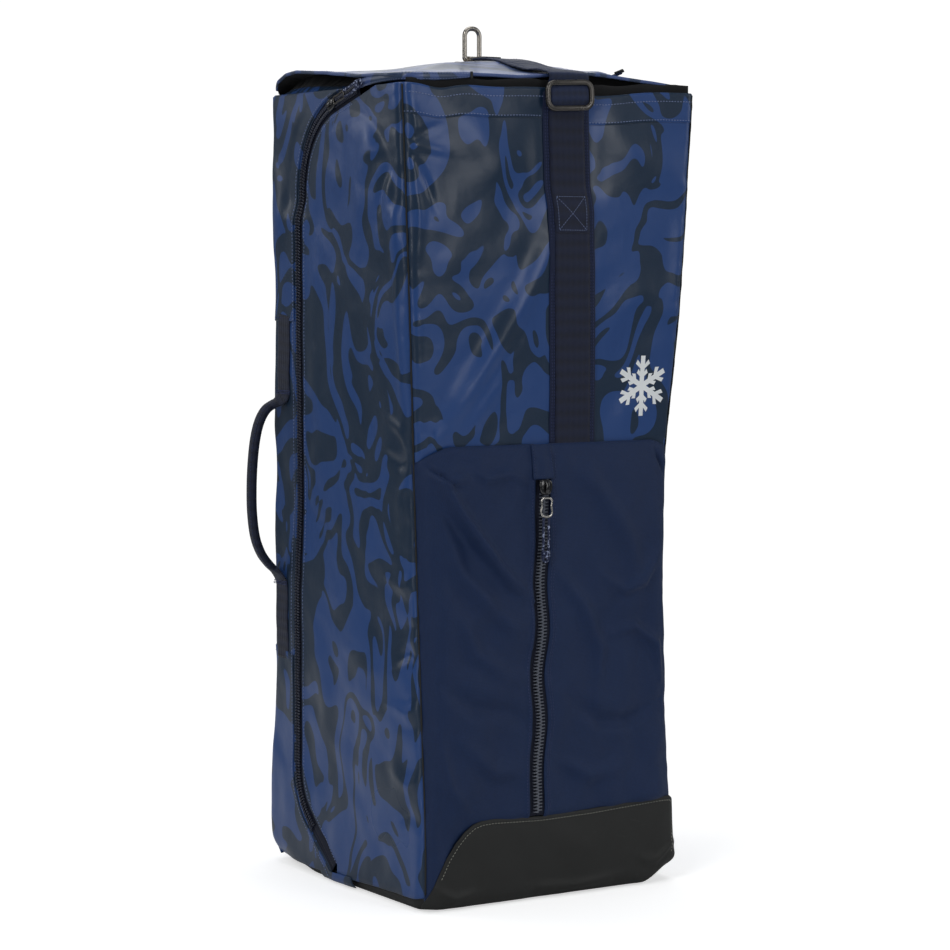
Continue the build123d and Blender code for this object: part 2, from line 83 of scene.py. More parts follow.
def ripple(a, b, seed, size):
    """Smooth uneven waves, about size apart and about 1 high."""
    rng = np.random.default_rng(seed)
    total = 0
    for _ in range(7):
        turn, phase = rng.uniform(0, 2 * math.pi, 2)
        f = 2 * math.pi / size * rng.uniform(0.6, 1.7)
        across = a * math.cos(turn) + b * math.sin(turn)
        along = b * math.cos(phase) - a * math.sin(phase)
        total = total + np.sin(f * across + phase + 1.2 * np.sin(f * 0.6 * along))
    return total / 4


def crease(a, b, points, height, width, tilt=0.0):
    """Height of a soft fold along a polyline, fading out at its two ends."""
    best = np.full(np.shape(a), 1e9)
    side, along = np.zeros(np.shape(a)), np.zeros(np.shape(a))
    lengths = [math.dist(p, q) for p, q in zip(points, points[1:])]
    done = 0.0
    for (pa, pb), (qa, qb), length in zip(points, points[1:], lengths):
        da, db = qa - pa, qb - pb
        t = np.clip(((a - pa) * da + (b - pb) * db) / length**2, 0, 1)
        oa, ob = a - pa - t * da, b - pb - t * db
        d = np.hypot(oa, ob)
        near = d < best
        best = np.where(near, d, best)
        side = np.where(near, np.sign(da * ob - db * oa), side)
        along = np.where(near, (done + t * length) / sum(lengths), along)
        done += length
    fade = np.sin(math.pi * np.clip(along, 0.04, 0.96)) ** 0.6
    u = best * side / width
    return height * fade * np.exp(-u * u) * (1 + tilt * 1.6 * u)


def ease(t):
    t = np.clip(t, 0, 1)
    return t * t * (3 - 2 * t)


# the side zip's upper bend: the middle and radius of its arc, and the angles it starts and ends at
BEND_Y, BEND_Z, BEND_R = -42.0, 704.0, 100.0
BEND_START, BEND_END = math.radians(15.5), math.radians(83.75)


def on_bend(a):
    return BEND_Y + BEND_R * math.sin(a), BEND_Z + BEND_R * math.cos(a)


def zip_line():
    """The side zip as (y, z), from above the rim down to the floor."""
    over_rim = 34.0
    y, z = on_bend(BEND_START)
    pts = [(y - over_rim / math.sin(BEND_START) * math.cos(BEND_START), z + over_rim)]
    pts += [on_bend(a) for a in np.linspace(BEND_START, BEND_END, 30)]
    end = pts[-1]
    pts += [(end[0] + (104 - end[0]) * t, end[1] + (290 - end[1]) * t) for t in (0.25, 0.5, 0.75)]
    pts += [(103.2, 300), (104, 270), (104, 200), (104, 122)]
    pts += [(19 + 85 * math.cos(a), 122 - 85 * math.sin(a)) for a in np.radians(np.arange(5, 51, 5))]
    y, z = pts[-1]
    pts.append((y - 74 * math.sin(math.radians(50)), z - 74 * math.cos(math.radians(50))))
    pts = np.array(pts)
    s = np.r_[0, np.cumsum(np.hypot(*np.diff(pts, axis=0).T))]
    t = np.arange(0, s[-1], 3.0)
    return np.c_[np.interp(t, s, pts[:, 0]), np.interp(t, s, pts[:, 1])]


ZIP = zip_line()
step = np.gradient(ZIP, axis=0)
step /= np.linalg.norm(step, axis=1)[:, None]
ZIP_REAR = np.c_[-step[:, 1], step[:, 0]]    # unit normal, rearwards and up


def zip_y(z, shift=0.0):
    """y of the side zip's line at a height, or of a line shift millimetres behind it."""
    p = ZIP + shift * ZIP_REAR
    order = np.argsort(p[:, 1])
    return np.interp(z, p[order, 1], p[order, 0])


def zip_part(low, high, shift=0.0):
    """The zip's line between two heights, moved shift millimetres behind itself."""
    inside = (ZIP[:, 1] < high) & (ZIP[:, 1] > low)
    return ZIP[inside] + shift * ZIP_REAR[inside]


FRONT_FOLDS = (
    ([(-8, 668), (-30, 622), (-62, 575), (-96, 520), (-128, 478)], 4.2, 15, 0.9),
    ([(-40, 560), (-66, 520), (-104, 468)], 2.2, 11, 0.8),
    ([(-174, 751), (-158, 764), (-132, 774)], -1.9, 4, 0.6),
    ([(-174, 751), (-158, 753), (-124, 748)], 1.7, 4.5, 0.7),
    ([(-174, 751), (-160, 738), (-148, 718), (-140, 694)], -1.9, 4.5, 0.7),
    ([(-172, 800), (-164, 772), (-172, 751)], 2.0, 7, 0.5),
    ([(-170, 735), (-160, 690), (-164, 640)], 2.2, 8, 0.6),
    ([(-168, 620), (-156, 560), (-160, 500)], 1.8, 8, -0.5),
    ([(-150, 800), (-96, 770), (-60, 720)], 1.6, 18, 0.4),
    ([(-120, 700), (-60, 690), (-20, 720)], -1.6, 22, 0.3),
    ([(60, 780), (100, 740), (170, 730)], 1.4, 20, 0.4),
    ([(60, 560), (110, 600), (165, 585)], 1.6, 20, 0.5),
    ([(150, 700), (158, 650), (150, 600)], 1.6, 14, 0.4),
)
SIDE_FOLDS = (
    ([(-146, 751), (-128, 762), (-100, 778), (-60, 782)], 3.0, 8, 0.8),
    ([(-146, 751), (-130, 740), (-112, 716), (-104, 684)], -2.8, 8, 0.7),
    ([(-146, 752), (-122, 752), (-92, 746)], 1.8, 6, 0.7),
    ([(-120, 800), (-96, 760), (-70, 720), (-62, 660)], 3.4, 20, 0.6),
    ([(-138, 730), (-130, 640), (-134, 560), (-126, 480)], 3.0, 10, 0.7),
    ([(-131, 452), (-112, 476), (-90, 486)], 2.0, 7, 0.7),
    ([(-130, 446), (-108, 440), (-84, 452)], -2.0, 7, 0.6),
    ([(-129, 436), (-112, 408), (-108, 370)], 1.8, 8, 0.6),
    ([(-134, 330), (-112, 316), (-88, 322)], 2.0, 9, 0.7),
    ([(-138, 240), (-116, 252), (-96, 240)], -2.2, 8, 0.7),
    ([(-140, 205), (-118, 190), (-92, 196)], 2.4, 9, 0.7),
    ([(-143, 130), (-120, 118), (-96, 128)], 2.0, 8, 0.6),
    ([(-146, 84), (-120, 92), (-96, 82)], -1.8, 9, 0.5),
    ([(30, 640), (40, 560), (30, 480), (44, 400)], 2.4, 20, 0.5),
    ([(-40, 600), (-60, 500), (-30, 400)], -2.2, 26, 0.3),
    ([(10, 330), (-30, 260), (-10, 180)], 2.2, 26, 0.4),
    ([(60, 250), (40, 190), (50, 130)], 1.8, 16, 0.5),
    ([(130, 560), (138, 470), (150, 380), (146, 300)], 2.0, 12, 0.5),
    ([(120, 760), (96, 700), (110, 640)], 2.0, 16, 0.5),
)


def corner_inset(e, r):
    """How far a wall lies inwards at a distance e from its corner."""
    e = np.clip(e, 0, r)
    return r - np.sqrt(np.maximum(r * r - (r - e) ** 2, 0))


def foot_inset(z, r=9.0):
    """How far a wall lies inwards where it turns under at the foot."""
    return corner_inset(z, r)


def side_foot_radius(y):
    """The foot's roundness along a side, which grows towards the back."""
    return 9 + 19 * ease((y - 60) / 90)


def front_y(x, z):
    """y of the front panel's outer face."""
    w, f, _ = body(z)
    e = w - np.abs(x)
    seam = e - CORNER
    pressed = np.exp(-(np.maximum(np.abs(x - 16) - 29, 0) / 18) ** 2) * ease((z - 690) / 34)
    flat = ease((RIM - 6 - z) / 60) * ease((z - 34) / 60) * (1 - pressed)
    y = f + corner_inset(e, FRONT_R) + 2.6 * np.exp(-(seam / 1.7) ** 2) + 1.9 * pressed * ease((RIM - 3 - z) / 30)
    swell = 3.0 * (1 - np.exp(-np.maximum(seam, 0) / 40)) * flat
    pucker = ripple(x * 0.2, z, 11, 36) * np.exp(-np.abs(seam) / 11) * 1.0
    waves = ripple(x, z, 3, 210) * 1.7 + ripple(x, z, 4, 85) * 0.6
    folds = sum(crease(x, z, *fold) for fold in FRONT_FOLDS)
    inner = ease(seam / 12)
    folds = folds * (0.35 + 0.65 * inner) * ease((z - 34) / 60) * (1 - pressed)
    return y - swell - pucker * flat - waves * inner * flat - folds


def side_x(y, z, which=-1):
    """Distance of a side's outer face from the middle plane."""
    w, f, b = body(z)
    ef, eb = y - f, b - y
    seam = ef - CORNER
    dz = np.abs(y - zip_y(z))
    seed = 20 if which < 0 else 40
    x = w - corner_inset(ef, FRONT_R) - corner_inset(eb, BACK_R) - 2.6 * np.exp(-(seam / 1.7) ** 2)
    swell = 4.2 * (1 - np.exp(-np.maximum(seam, 0) / 26)) * (1 - np.exp(-np.maximum(eb - 4, 0) / 24))
    off_bend = np.abs(np.hypot(y - BEND_Y, z - BEND_Z) - 106)
    bend = np.exp(-(np.maximum(off_bend - 15, 0) / 11) ** 2) * ease((z - 684) / 26)
    swell = (swell + 1.3 * np.exp(-(dz / 13) ** 2)) * (1 - 0.9 * bend)
    waves = ripple(y, z, seed, 190) * 2.2 + ripple(y, z, seed + 1, 80) * 0.9
    pucker = ripple(y * 0.2, z, seed + 2, 34) * np.exp(-np.abs(seam) / 13) * 1.2
    folds = sum(crease(y, z, *fold) for fold in SIDE_FOLDS) if which < 0 else 0
    calm = ((1 - 0.75 * np.exp(-(dz / 20) ** 2)) * (1 - 0.9 * bend) * ease(seam / 10)
            * ease((RIM - 4 - z) / 40) * ease(eb / 12))
    x = x + swell * ease((RIM + 4 - z) / 50) + (waves + folds) * calm + pucker
    return x - foot_inset(z, side_foot_radius(y))


def rim_z(x):
    """Height of the front's upper edge, which sags beside the strap."""
    left = 4.5 * np.exp(-((x + 134) / 20) ** 2) + 1.5 * np.exp(-((x + 70) / 26) ** 2)
    right = 6.5 * np.exp(-(np.maximum(x - 52, 0) / 48) ** 2) * ease((x - 16) / 30)
    return RIM - left - right


def sagging(x, z):
    """Heights of the front's cloth, lowered towards its sagging rim."""
    return z - (RIM - rim_z(x)) * ease((z - 690) / 125)


# ---------------------------------------------------------------- mesh helpers
def link(name, mesh, *materials):
    ob = bpy.data.objects.new(name, mesh)
    for m in materials:
        mesh.materials.append(m)
    bpy.context.scene.collection.objects.link(ob)
    return ob


def raw(name, verts, faces, *materials, smooth=True, index=None, uv=None):
    mesh = bpy.data.meshes.new(name)
    mesh.from_pydata((np.asarray(verts) * MM).tolist(), [], [tuple(map(int, f)) for f in faces])
    if smooth:
        mesh.polygons.foreach_set("use_smooth", [True] * len(mesh.polygons))
    if index is not None:
        mesh.polygons.foreach_set("material_index", [int(i) for i in index])
    if uv is not None:
        layer = mesh.uv_layers.new(name="Cloth")
        loops = np.empty(len(mesh.loops), int)
        mesh.loops.foreach_get("vertex_index", loops)
        layer.data.foreach_set("uv", np.asarray(uv)[loops].ravel())
    mesh.update()
    return link(name, mesh, *materials)


def unit(v):
    return v / np.maximum(np.linalg.norm(v, axis=-1, keepdims=True), 1e-9)


def grid_normals(p):
    return unit(np.cross(np.gradient(p, axis=0), np.gradient(p, axis=1)))


def cloth(name, p, thick, outer, inner=None, out=None):
    """A sheet with a rounded edge: p is a grid of points on its outer face, in millimetres."""
    n = grid_normals(p)
    if out is not None and (n * np.asarray(out, float)).sum(-1).mean() < 0:
        p, n = p[::-1], -n[::-1]
    nu, nv = p.shape[:2]
    thick = np.broadcast_to(np.asarray(thick, float), (nu, nv))[..., None]
    q = p - n * thick
    ids = np.arange(nu * nv).reshape(nu, nv)
    verts = [p.reshape(-1, 3), q.reshape(-1, 3)]
    a, b, c, d = (ids[:-1, :-1].ravel(), ids[1:, :-1].ravel(), ids[1:, 1:].ravel(), ids[:-1, 1:].ravel())
    top = np.stack([a, b, c, d], 1)
    faces, index = [top, top[:, ::-1] + nu * nv], [0] * len(top) + [1 if inner else 0] * len(top)
    ring = ([(i, 0) for i in range(nu)] + [(nu - 1, j) for j in range(1, nv)]
            + [(i, nv - 1) for i in range(nu - 2, -1, -1)] + [(0, j) for j in range(nv - 2, 0, -1)])
    inside = [(min(max(i, 1), nu - 2), min(max(j, 1), nv - 2)) for i, j in ring]
    r, s = tuple(np.array(ring).T), tuple(np.array(inside).T)
    edge = unit(p[r] - p[s])
    edge = unit(edge - n[r] * (edge * n[r]).sum(1, keepdims=True))
    verts.append((p[r] + q[r]) / 2 + edge * thick[r] * 0.42)
    base = 2 * nu * nv
    k = np.arange(len(ring))
    nxt = (k + 1) % len(ring)
    rim_top, mid = ids[r], base + k
    faces.append(np.stack([rim_top, mid, mid[nxt], rim_top[nxt]], 1))
    faces.append(np.stack([mid, rim_top + nu * nv, (rim_top + nu * nv)[nxt], mid[nxt]], 1))
    index += [0] * (2 * len(ring))
    du = np.r_[0, np.cumsum(np.linalg.norm(np.diff(p[:, nv // 2], axis=0), axis=1))] * MM
    dv = np.r_[0, np.cumsum(np.linalg.norm(np.diff(p[nu // 2], axis=0), axis=1))] * MM
    uv = np.stack(np.meshgrid(du, dv, indexing="ij"), -1).reshape(-1, 2)
    uv = np.r_[uv, uv, uv[rim_top]]
    materials = [outer, inner] if inner else [outer]
    return raw(name, np.concatenate(verts), np.concatenate(faces), *materials, index=index, uv=uv)


def bands(ids, flip=False):
    """Faces between closed rings of points that follow each other."""
    step = -1 if flip else 1
    return [tuple(f) for a, b in zip(ids, ids[1:])
            for f in np.stack([a, np.roll(a, -1), np.roll(b, -1), b], 1)[:, ::step]]


def superellipse(count, power):
    a = np.linspace(0, 2 * math.pi, count, endpoint=False)
    return np.sign(np.cos(a)) * np.abs(np.cos(a)) ** power, np.sign(np.sin(a)) * np.abs(np.sin(a)) ** power


def frames_along(points, up):
    """Tangent, side and up vectors along a polyline; up is one vector or one for each point."""
    t = unit(np.gradient(points, axis=0))
    up = np.broadcast_to(np.asarray(up, float), points.shape)
    u = unit(up - t * (up * t).sum(1, keepdims=True))
    return t, np.cross(t, u), u


def sweep(name, points, up, half_w, half_t, *materials, sides=16, power=2.6, loop=False):
    """A bar of superellipse section along a polyline, its half width and half thickness free to vary."""
    pts = np.asarray(points, float)
    if loop:
        wide = np.concatenate([pts[-2:], pts, pts[:2]])
        ups = up if np.ndim(up) == 1 else np.concatenate([up[-2:], up, up[:2]])
        _, s, u = (v[2:-2] for v in frames_along(wide, ups))
    else:
        _, s, u = frames_along(pts, up)
    cx, cy = superellipse(sides, 2 / power)
    hw, ht = (np.broadcast_to(np.asarray(h, float), len(pts)) for h in (half_w, half_t))
    rings = pts[:, None] + s[:, None] * (hw[:, None] * cx)[..., None] + u[:, None] * (ht[:, None] * cy)[..., None]
    n = len(pts)
    ids = np.arange(n * sides).reshape(n, sides)
    i = np.arange(n if loop else n - 1)
    j = (i + 1) % n
    faces = []
    for k in range(sides):
        m = (k + 1) % sides
        faces.append(np.stack([ids[i, k], ids[i, m], ids[j, m], ids[j, k]], 1))
    faces = [tuple(f) for f in np.concatenate(faces)]
    if not loop:
        faces += [tuple(ids[0, ::-1]), tuple(ids[-1])]
    along = np.r_[0, np.cumsum(np.linalg.norm(np.diff(pts, axis=0), axis=1))] * MM
    uv = np.stack([np.repeat(along, sides), np.tile(cx * 0.02, n)], 1)
    return raw(name, rings.reshape(-1, 3), faces, *materials, uv=uv)


def resample(points, step):
    """The same line with points an even step apart."""
    points = np.asarray(points, float)
    s = np.r_[0, np.cumsum(np.linalg.norm(np.diff(points, axis=0), axis=1))]
    t = np.linspace(0, s[-1], max(int(round(s[-1] / step)), 2) + 1)
    return np.stack([np.interp(t, s, points[:, k]) for k in range(points.shape[1])], 1)


def smooth(points, step=3.0):
    """A Catmull-Rom curve through a few points."""
    p = np.asarray(points, float)
    p = np.concatenate([[2 * p[0] - p[1]], p, [2 * p[-1] - p[-2]]])
    out = []
    for a, b, c, d in zip(p, p[1:], p[2:], p[3:]):
        t = np.linspace(0, 1, 12, endpoint=False)[:, None]
        out.append(0.5 * (2 * b + (c - a) * t + (2 * a - 5 * b + 4 * c - d) * t**2 + (3 * b - a - 3 * c + d) * t**3))
    return resample(np.concatenate(out + [p[-2:-1]]), step)


def copies(name, template, faces, origins, xs, ys, zs, material, smoothed=True):
    """Many copies of one small shape, each with its own frame, as one mesh."""
    v = (origins[:, None] + template[None, :, 0, None] * xs[:, None]
         + template[None, :, 1, None] * ys[:, None] + template[None, :, 2, None] * zs[:, None])
    n = len(template)
    all_faces = [tuple(i + k * n for i in f) for k in range(len(origins)) for f in faces]
    return raw(name, v.reshape(-1, 3), all_faces, material, smooth=smoothed)


def rounded_loop(half_w, half_h, r, degrees, step):
    """A closed rounded rectangle, anticlockwise from its right side."""
    loop = []
    for right, top, start in ((1, 1, 0), (-1, 1, 90), (-1, -1, 180), (1, -1, 270)):
        for a in range(start, start + 91, degrees):
            loop.append((right * (half_w - r) + r * math.cos(math.radians(a)),
                         top * (half_h - r) + r * math.sin(math.radians(a))))
    return resample(loop + loop[:1], step)[:-1]


def stitches(name, points, normals, material, pitch=3.6, length=2.5, radius=0.36, lift=0.05):
    """A row of short threads along a line on a surface."""
    pts = np.asarray(points, float)
    s = np.r_[0, np.cumsum(np.linalg.norm(np.diff(pts, axis=0), axis=1))]
    at = np.arange(pitch / 2, s[-1], pitch)
    take = lambda a: np.stack([np.interp(at, s, a[:, k]) for k in range(3)], 1)
    tangents = unit(take(np.gradient(pts, axis=0)))
    normals = np.broadcast_to(np.asarray(normals, float), pts.shape)
    up = unit(take(normals))
    up = unit(up - tangents * (up * tangents).sum(1, keepdims=True))
    h = length / 2
    template = [(-h, 0, -radius * 0.9), (h, 0, -radius * 0.9)]
    for x in (-h * 0.62, h * 0.62):
        template += [(x, radius, 0), (x, 0, radius), (x, -radius, 0), (x, 0, -radius)]
    faces = []
    for k in range(4):
        m = (k + 1) % 4
        faces += [(0, 2 + k, 2 + m), (2 + k, 6 + k, 6 + m, 2 + m), (6 + k, 1, 6 + m)]
    return copies(name, np.array(template), faces, take(pts) + up * lift, tangents,
                  np.cross(up, tangents), up, material)


# ---------------------------------------------------------------- materials
class Nodes:
    """A small shorthand for building a node tree."""
    def __init__(self, name):
        self.m = bpy.data.materials.new(name)
        self.m.use_nodes = True
        self.t = self.m.node_tree
        self.p = self.t.nodes["Principled BSDF"]

    def new(self, kind, **values):
        n = self.t.nodes.new("ShaderNode" + kind)
        for k, v in values.items():
            if hasattr(n, k):
                setattr(n, k, v)
            else:
                n.inputs[k.replace("_", " ")].default_value = v
        return n

    def join(self, a, b):
        self.t.links.new(a, b)

    def feed(self, socket, v):
        """Gives a socket a number, a colour or another node's output."""
        if isinstance(v, tuple):
            socket.default_value = (*v, 1)
        elif isinstance(v, (int, float)):
            socket.default_value = v
        elif v is not None:
            self.join(v, socket)

    def math(self, op, a, b=None):
        n = self.new("Math", operation=op)
        self.feed(n.inputs[0], a)
        self.feed(n.inputs[1], b)
        return n.outputs[0]

    def coords(self, kind="Object", scale=(1, 1, 1), shift=(0, 0, 0)):
        cloth_uv = kind == "Cloth"
        c = self.new("UVMap", uv_map="Cloth").outputs[0] if cloth_uv else self.new("TexCoord").outputs[kind]
        m = self.new("Mapping")
        m.inputs["Scale"].default_value, m.inputs["Location"].default_value = scale, shift
        self.join(c, m.inputs[0])
        return m.outputs[0]

    def noise(self, vector, scale, detail=2.0, rough=0.5, distort=0.0):
        n = self.new("TexNoise")
        n.inputs["Scale"].default_value, n.inputs["Detail"].default_value = scale, detail
        n.inputs["Roughness"].default_value, n.inputs["Distortion"].default_value = rough, distort
        self.join(vector, n.inputs["Vector"])
        return n

    def ramp(self, value, *stops):
        n = self.new("ValToRGB")
        e = n.color_ramp.elements
        while len(e) < len(stops):
            e.new(0.5)
        for el, (pos, col) in zip(e, stops):
            el.position = pos
            el.color = (*col, 1) if hasattr(col, "__len__") else (col, col, col, 1)
        self.join(value, n.inputs[0])
        return n.outputs[0]

    def mix(self, factor, a, b):
        n = self.new("Mix", data_type="RGBA")
        for k, v in ((0, factor), (6, a), (7, b)):
            self.feed(n.inputs[k], v)
        return n.outputs[2]

    def bump(self, height, strength, distance, under=None):
        n = self.new("Bump")
        n.inputs["Strength"].default_value, n.inputs["Distance"].default_value = strength, distance
        self.join(height, n.inputs["Height"])
        if under is not None:
            self.join(under, n.inputs["Normal"])
        return n.outputs[0]

    def done(self, color=None, rough=0.5, normal=None, **values):
        for key, v in (("Base Color", color), ("Roughness", rough), ("Normal", normal)):
            self.feed(self.p.inputs[key], v)
        for k, v in values.items():
            self.p.inputs[k.replace("_", " ")].default_value = v
        return self.m


def srgb(r, g, b):
    return tuple((c / 255 / 12.92) if c <= 10 else ((c / 255 + 0.055) / 1.055) ** 2.4 for c in (r, g, b))


def swirl_print(name, shift, dark=(20, 40, 60), light=(37, 71, 130)):
    """Coated tarpaulin, printed with two blues in a marbled swirl."""
    n = Nodes(name)
    c = n.coords("Object", (1, 1, 0.72), shift)
    warp = n.noise(c, 8.2, 1.5, 0.5)
    moved = n.new("VectorMath", operation="MULTIPLY_ADD")
    n.join(warp.outputs["Color"], moved.inputs[0])
    moved.inputs[1].default_value = (0.22, 0.22, 0.22)
    n.join(c, moved.inputs[2])
    field = n.noise(moved.outputs[0], 10.2, 1.0, 0.4, 1.5)
    bands = n.math("SINE", n.math("MULTIPLY", field.outputs["Fac"], 23.0))
    mask = n.ramp(bands, (0.0, 0.0), (0.05, 1.0))
    dust = n.noise(c, 900, 2.0, 0.7).outputs["Fac"]
    tone = n.noise(c, 5.0, 3.0, 0.6).outputs["Fac"]
    color = n.mix(mask, srgb(*dark), srgb(*light))
    color = n.mix(n.math("MULTIPLY", dust, 0.14), color, srgb(62, 90, 132))
    color = n.mix(n.math("MULTIPLY", tone, 0.10), color, srgb(60, 70, 90))
    grain = n.noise(n.coords("Object"), 1500, 2.0, 0.6).outputs["Fac"]
    soft = n.noise(n.coords("Object"), 42, 2.0, 0.5).outputs["Fac"]
    normal = n.bump(grain, 0.10, 0.0004, n.bump(soft, 0.16, 0.004))
    rough = n.ramp(tone, (0.3, 0.27), (0.7, 0.36))
    return n.done(color, rough, normal, Specular_IOR_Level=0.42, Sheen_Weight=0.02, Sheen_Roughness=0.5)


def woven(name, color, pitch=1400.0, rough=0.72, sheen=0.05, light=None):
    """Plain woven nylon: fine crossed threads and uneven tone."""
    n = Nodes(name)
    c = n.coords("Cloth")
    light = light or tuple(min(v * 1.5 + 0.004, 1) for v in color)
    warp = n.new("TexWave", wave_type="BANDS", bands_direction="X")
    weft = n.new("TexWave", wave_type="BANDS", bands_direction="Y")
    for w in (warp, weft):
        w.inputs["Scale"].default_value = pitch / 6.283
        w.inputs["Distortion"].default_value = 0.6
        n.join(c, w.inputs["Vector"])
    weave = n.math("MULTIPLY", warp.outputs["Fac"], weft.outputs["Fac"])
    tone = n.noise(n.coords("Object"), 9.0, 4.0, 0.6).outputs["Fac"]
    mottle = n.noise(n.coords("Object"), 420.0, 2.0, 0.6).outputs["Fac"]
    mixed = n.mix(n.math("MULTIPLY", weave, 0.36), color, light)
    mixed = n.mix(n.math("MULTIPLY", mottle, 0.3), mixed, light)
    mixed = n.mix(n.math("MULTIPLY", tone, 0.22), mixed, tuple(v * 0.55 for v in color))
    soft = n.noise(n.coords("Object"), 55, 3.0, 0.55).outputs["Fac"]
    normal = n.bump(weave, 0.28, 0.0004, n.bump(soft, 0.18, 0.003))
    return n.done(mixed, rough, normal, Sheen_Weight=sheen, Sheen_Roughness=0.45, Specular_IOR_Level=0.35)


def ribbed(name, color, pitch=2.1):
    """Webbing with ribs across its length."""
    n = Nodes(name)
    c = n.coords("Cloth")
    ribs = n.new("TexWave", wave_type="BANDS", bands_direction="X", wave_profile="SIN")
    fine = n.new("TexWave", wave_type="BANDS", bands_direction="Y")
    ribs.inputs["Scale"].default_value = 1000 / pitch / 20
    fine.inputs["Scale"].default_value = 1000 / 1.1 / 20
    for w in (ribs, fine):
        w.inputs["Distortion"].default_value = 0.35
        w.inputs["Detail"].default_value = 1.0
        n.join(c, w.inputs["Vector"])
    both = n.math("ADD", ribs.outputs["Fac"], n.math("MULTIPLY", fine.outputs["Fac"], 0.35))
    tone = n.noise(n.coords("Object"), 60.0, 3.0, 0.6).outputs["Fac"]
    col = n.mix(both, tuple(v * 0.62 for v in color), tuple(v * 1.25 for v in color))
    col = n.mix(n.math("MULTIPLY", tone, 0.3), col, tuple(v * 1.7 for v in color))
    return n.done(col, 0.66, n.bump(both, 0.5, 0.0007), Sheen_Weight=0.12, Specular_IOR_Level=0.35)


def plain(name, color, rough, metal=0.0, grain=900.0, vary=0.25, **values):
    """Plastic, metal or coated stock with a fine grain and worn tone."""
    n = Nodes(name)
    c = n.coords("Object")
    tone = n.noise(c, 24.0, 4.0, 0.65).outputs["Fac"]
    fine = n.noise(c, grain, 2.0, 0.6).outputs["Fac"]
    col = n.mix(n.math("MULTIPLY", tone, vary), color, tuple(min(v * 1.6 + 0.01, 1) for v in color))
    ro = n.ramp(tone, (0.3, max(rough - 0.07, 0.04)), (0.7, min(rough + 0.08, 1.0)))
    return n.done(col, ro, n.bump(fine, 0.2, 0.0003), Metallic=metal, **values)


def scuffed_black(name):
    """Matte black tarpaulin with a few pale scuffs."""
    n = Nodes(name)
    c = n.coords("Object")
    tone = n.noise(c, 11.0, 4.0, 0.6).outputs["Fac"]
    scuff = n.noise(n.coords("Object", (9, 9, 22)), 1.6, 5.0, 0.75, 0.8).outputs["Fac"]
    rub = n.ramp(scuff, (0.63, 0.0), (0.70, 1.0))
    col = n.mix(n.math("MULTIPLY", tone, 0.4), srgb(25, 26, 25), srgb(36, 36, 34))
    col = n.mix(n.math("MULTIPLY", rub, 0.10), col, srgb(92, 92, 92))
    grain = n.noise(c, 700, 3.0, 0.65).outputs["Fac"]
    ro = n.ramp(tone, (0.3, 0.50), (0.7, 0.62))
    soft = n.noise(c, 60, 2.0, 0.5).outputs["Fac"]
    return n.done(col, ro, n.bump(grain, 0.2, 0.0004, n.bump(soft, 0.15, 0.003)), Specular_IOR_Level=0.42)


def flecked(name):
    """Navy cord with pale flecks in its braid."""
    n = Nodes(name)
    c = n.coords("Object")
    cells = n.new("TexVoronoi", feature="F1")
    cells.inputs["Scale"].default_value = 620
    n.join(c, cells.inputs["Vector"])
    pick = n.ramp(cells.outputs["Color"], (0.70, 0.0), (0.74, 1.0))
    col = n.mix(pick, srgb(30, 40, 72), srgb(150, 160, 190))
    return n.done(col, 0.7, n.bump(cells.outputs["Distance"], 0.6, 0.0006))


PRINT = swirl_print("printed_tarpaulin", (0, 0, 0))
PRINT_SIDE = swirl_print("printed_tarpaulin_side", (0.37, 0.2, 0.11))
PRINT_REAR = swirl_print("printed_tarpaulin_rear", (0.9, -0.4, 0.52))
# the lid's print: the same swirl in lighter blues, a painted sheen of the lid's top seen at a grazing angle
PRINT_LID_PAINTED_SHEEN = swirl_print("printed_tarpaulin_lid_painted_sheen", (1.4, 0.7, 0.2), (52, 66, 92), (74, 92, 142))
NYLON = woven("navy_nylon", srgb(8, 31, 66), rough=0.64, sheen=0.04, light=srgb(18, 54, 106))
BLACK = scuffed_black("black_tarpaulin")
LINING = woven("black_lining", srgb(15, 15, 17), rough=0.85)
BACKING = woven("plain_binding", srgb(10, 24, 56), pitch=2600, rough=0.7)
WEBBING = ribbed("ribbed_webbing", srgb(8, 18, 44))
WEBBING_LID = ribbed("lid_webbing", srgb(14, 28, 58), pitch=1.5)
HANDLE_WEB = ribbed("handle_webbing", srgb(14, 22, 44), pitch=1.6)
ZIP_TAPE = woven("zip_tape", srgb(12, 18, 38), pitch=3400, rough=0.75, sheen=0.03)
ZIP_COIL = plain("zip_coil", srgb(24, 30, 50), 0.3, vary=0.3)
ZIP_TEETH = plain("moulded_teeth", srgb(84, 88, 98), 0.24, vary=0.3)
ENAMEL = plain("black_enamel", srgb(16, 16, 18), 0.16, vary=0.2, Coat_Weight=0.6)
NICKEL = plain("polished_nickel", srgb(188, 184, 178), 0.19, metal=1.0, grain=300, vary=0.15)
STEEL = plain("hook_metal", srgb(160, 154, 146), 0.24, metal=1.0, grain=400, vary=0.3)
GUNMETAL = plain("gunmetal", srgb(84, 81, 78), 0.28, metal=0.85, vary=0.3)
THREAD = plain("pale_thread", srgb(108, 122, 160), 0.7, vary=0.35)
THREAD_NAVY = plain("navy_thread", srgb(44, 56, 98), 0.7, vary=0.3)
THREAD_GREY = plain("grey_thread", srgb(138, 138, 128), 0.7, vary=0.3)
WHITE = plain("white_print", srgb(247, 250, 251), 0.34, vary=0.05)
BOARD = plain("board_plastic", srgb(30, 30, 32), 0.6)
CORD = flecked("flecked_cord")


def wear(node, *materials):
    """Gives a CAD node that keeps its shape a better material."""
    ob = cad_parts[node]
    ob.data.materials.clear()
    for m in materials:
        ob.data.materials.append(m)


# ---------------------------------------------------------------- cords of the zip pulls
def plane(origin, x, out):
    x, out = unit(np.array(x, float)), unit(np.array(out, float))
    return np.array(origin, float), x, np.cross(out, x), out


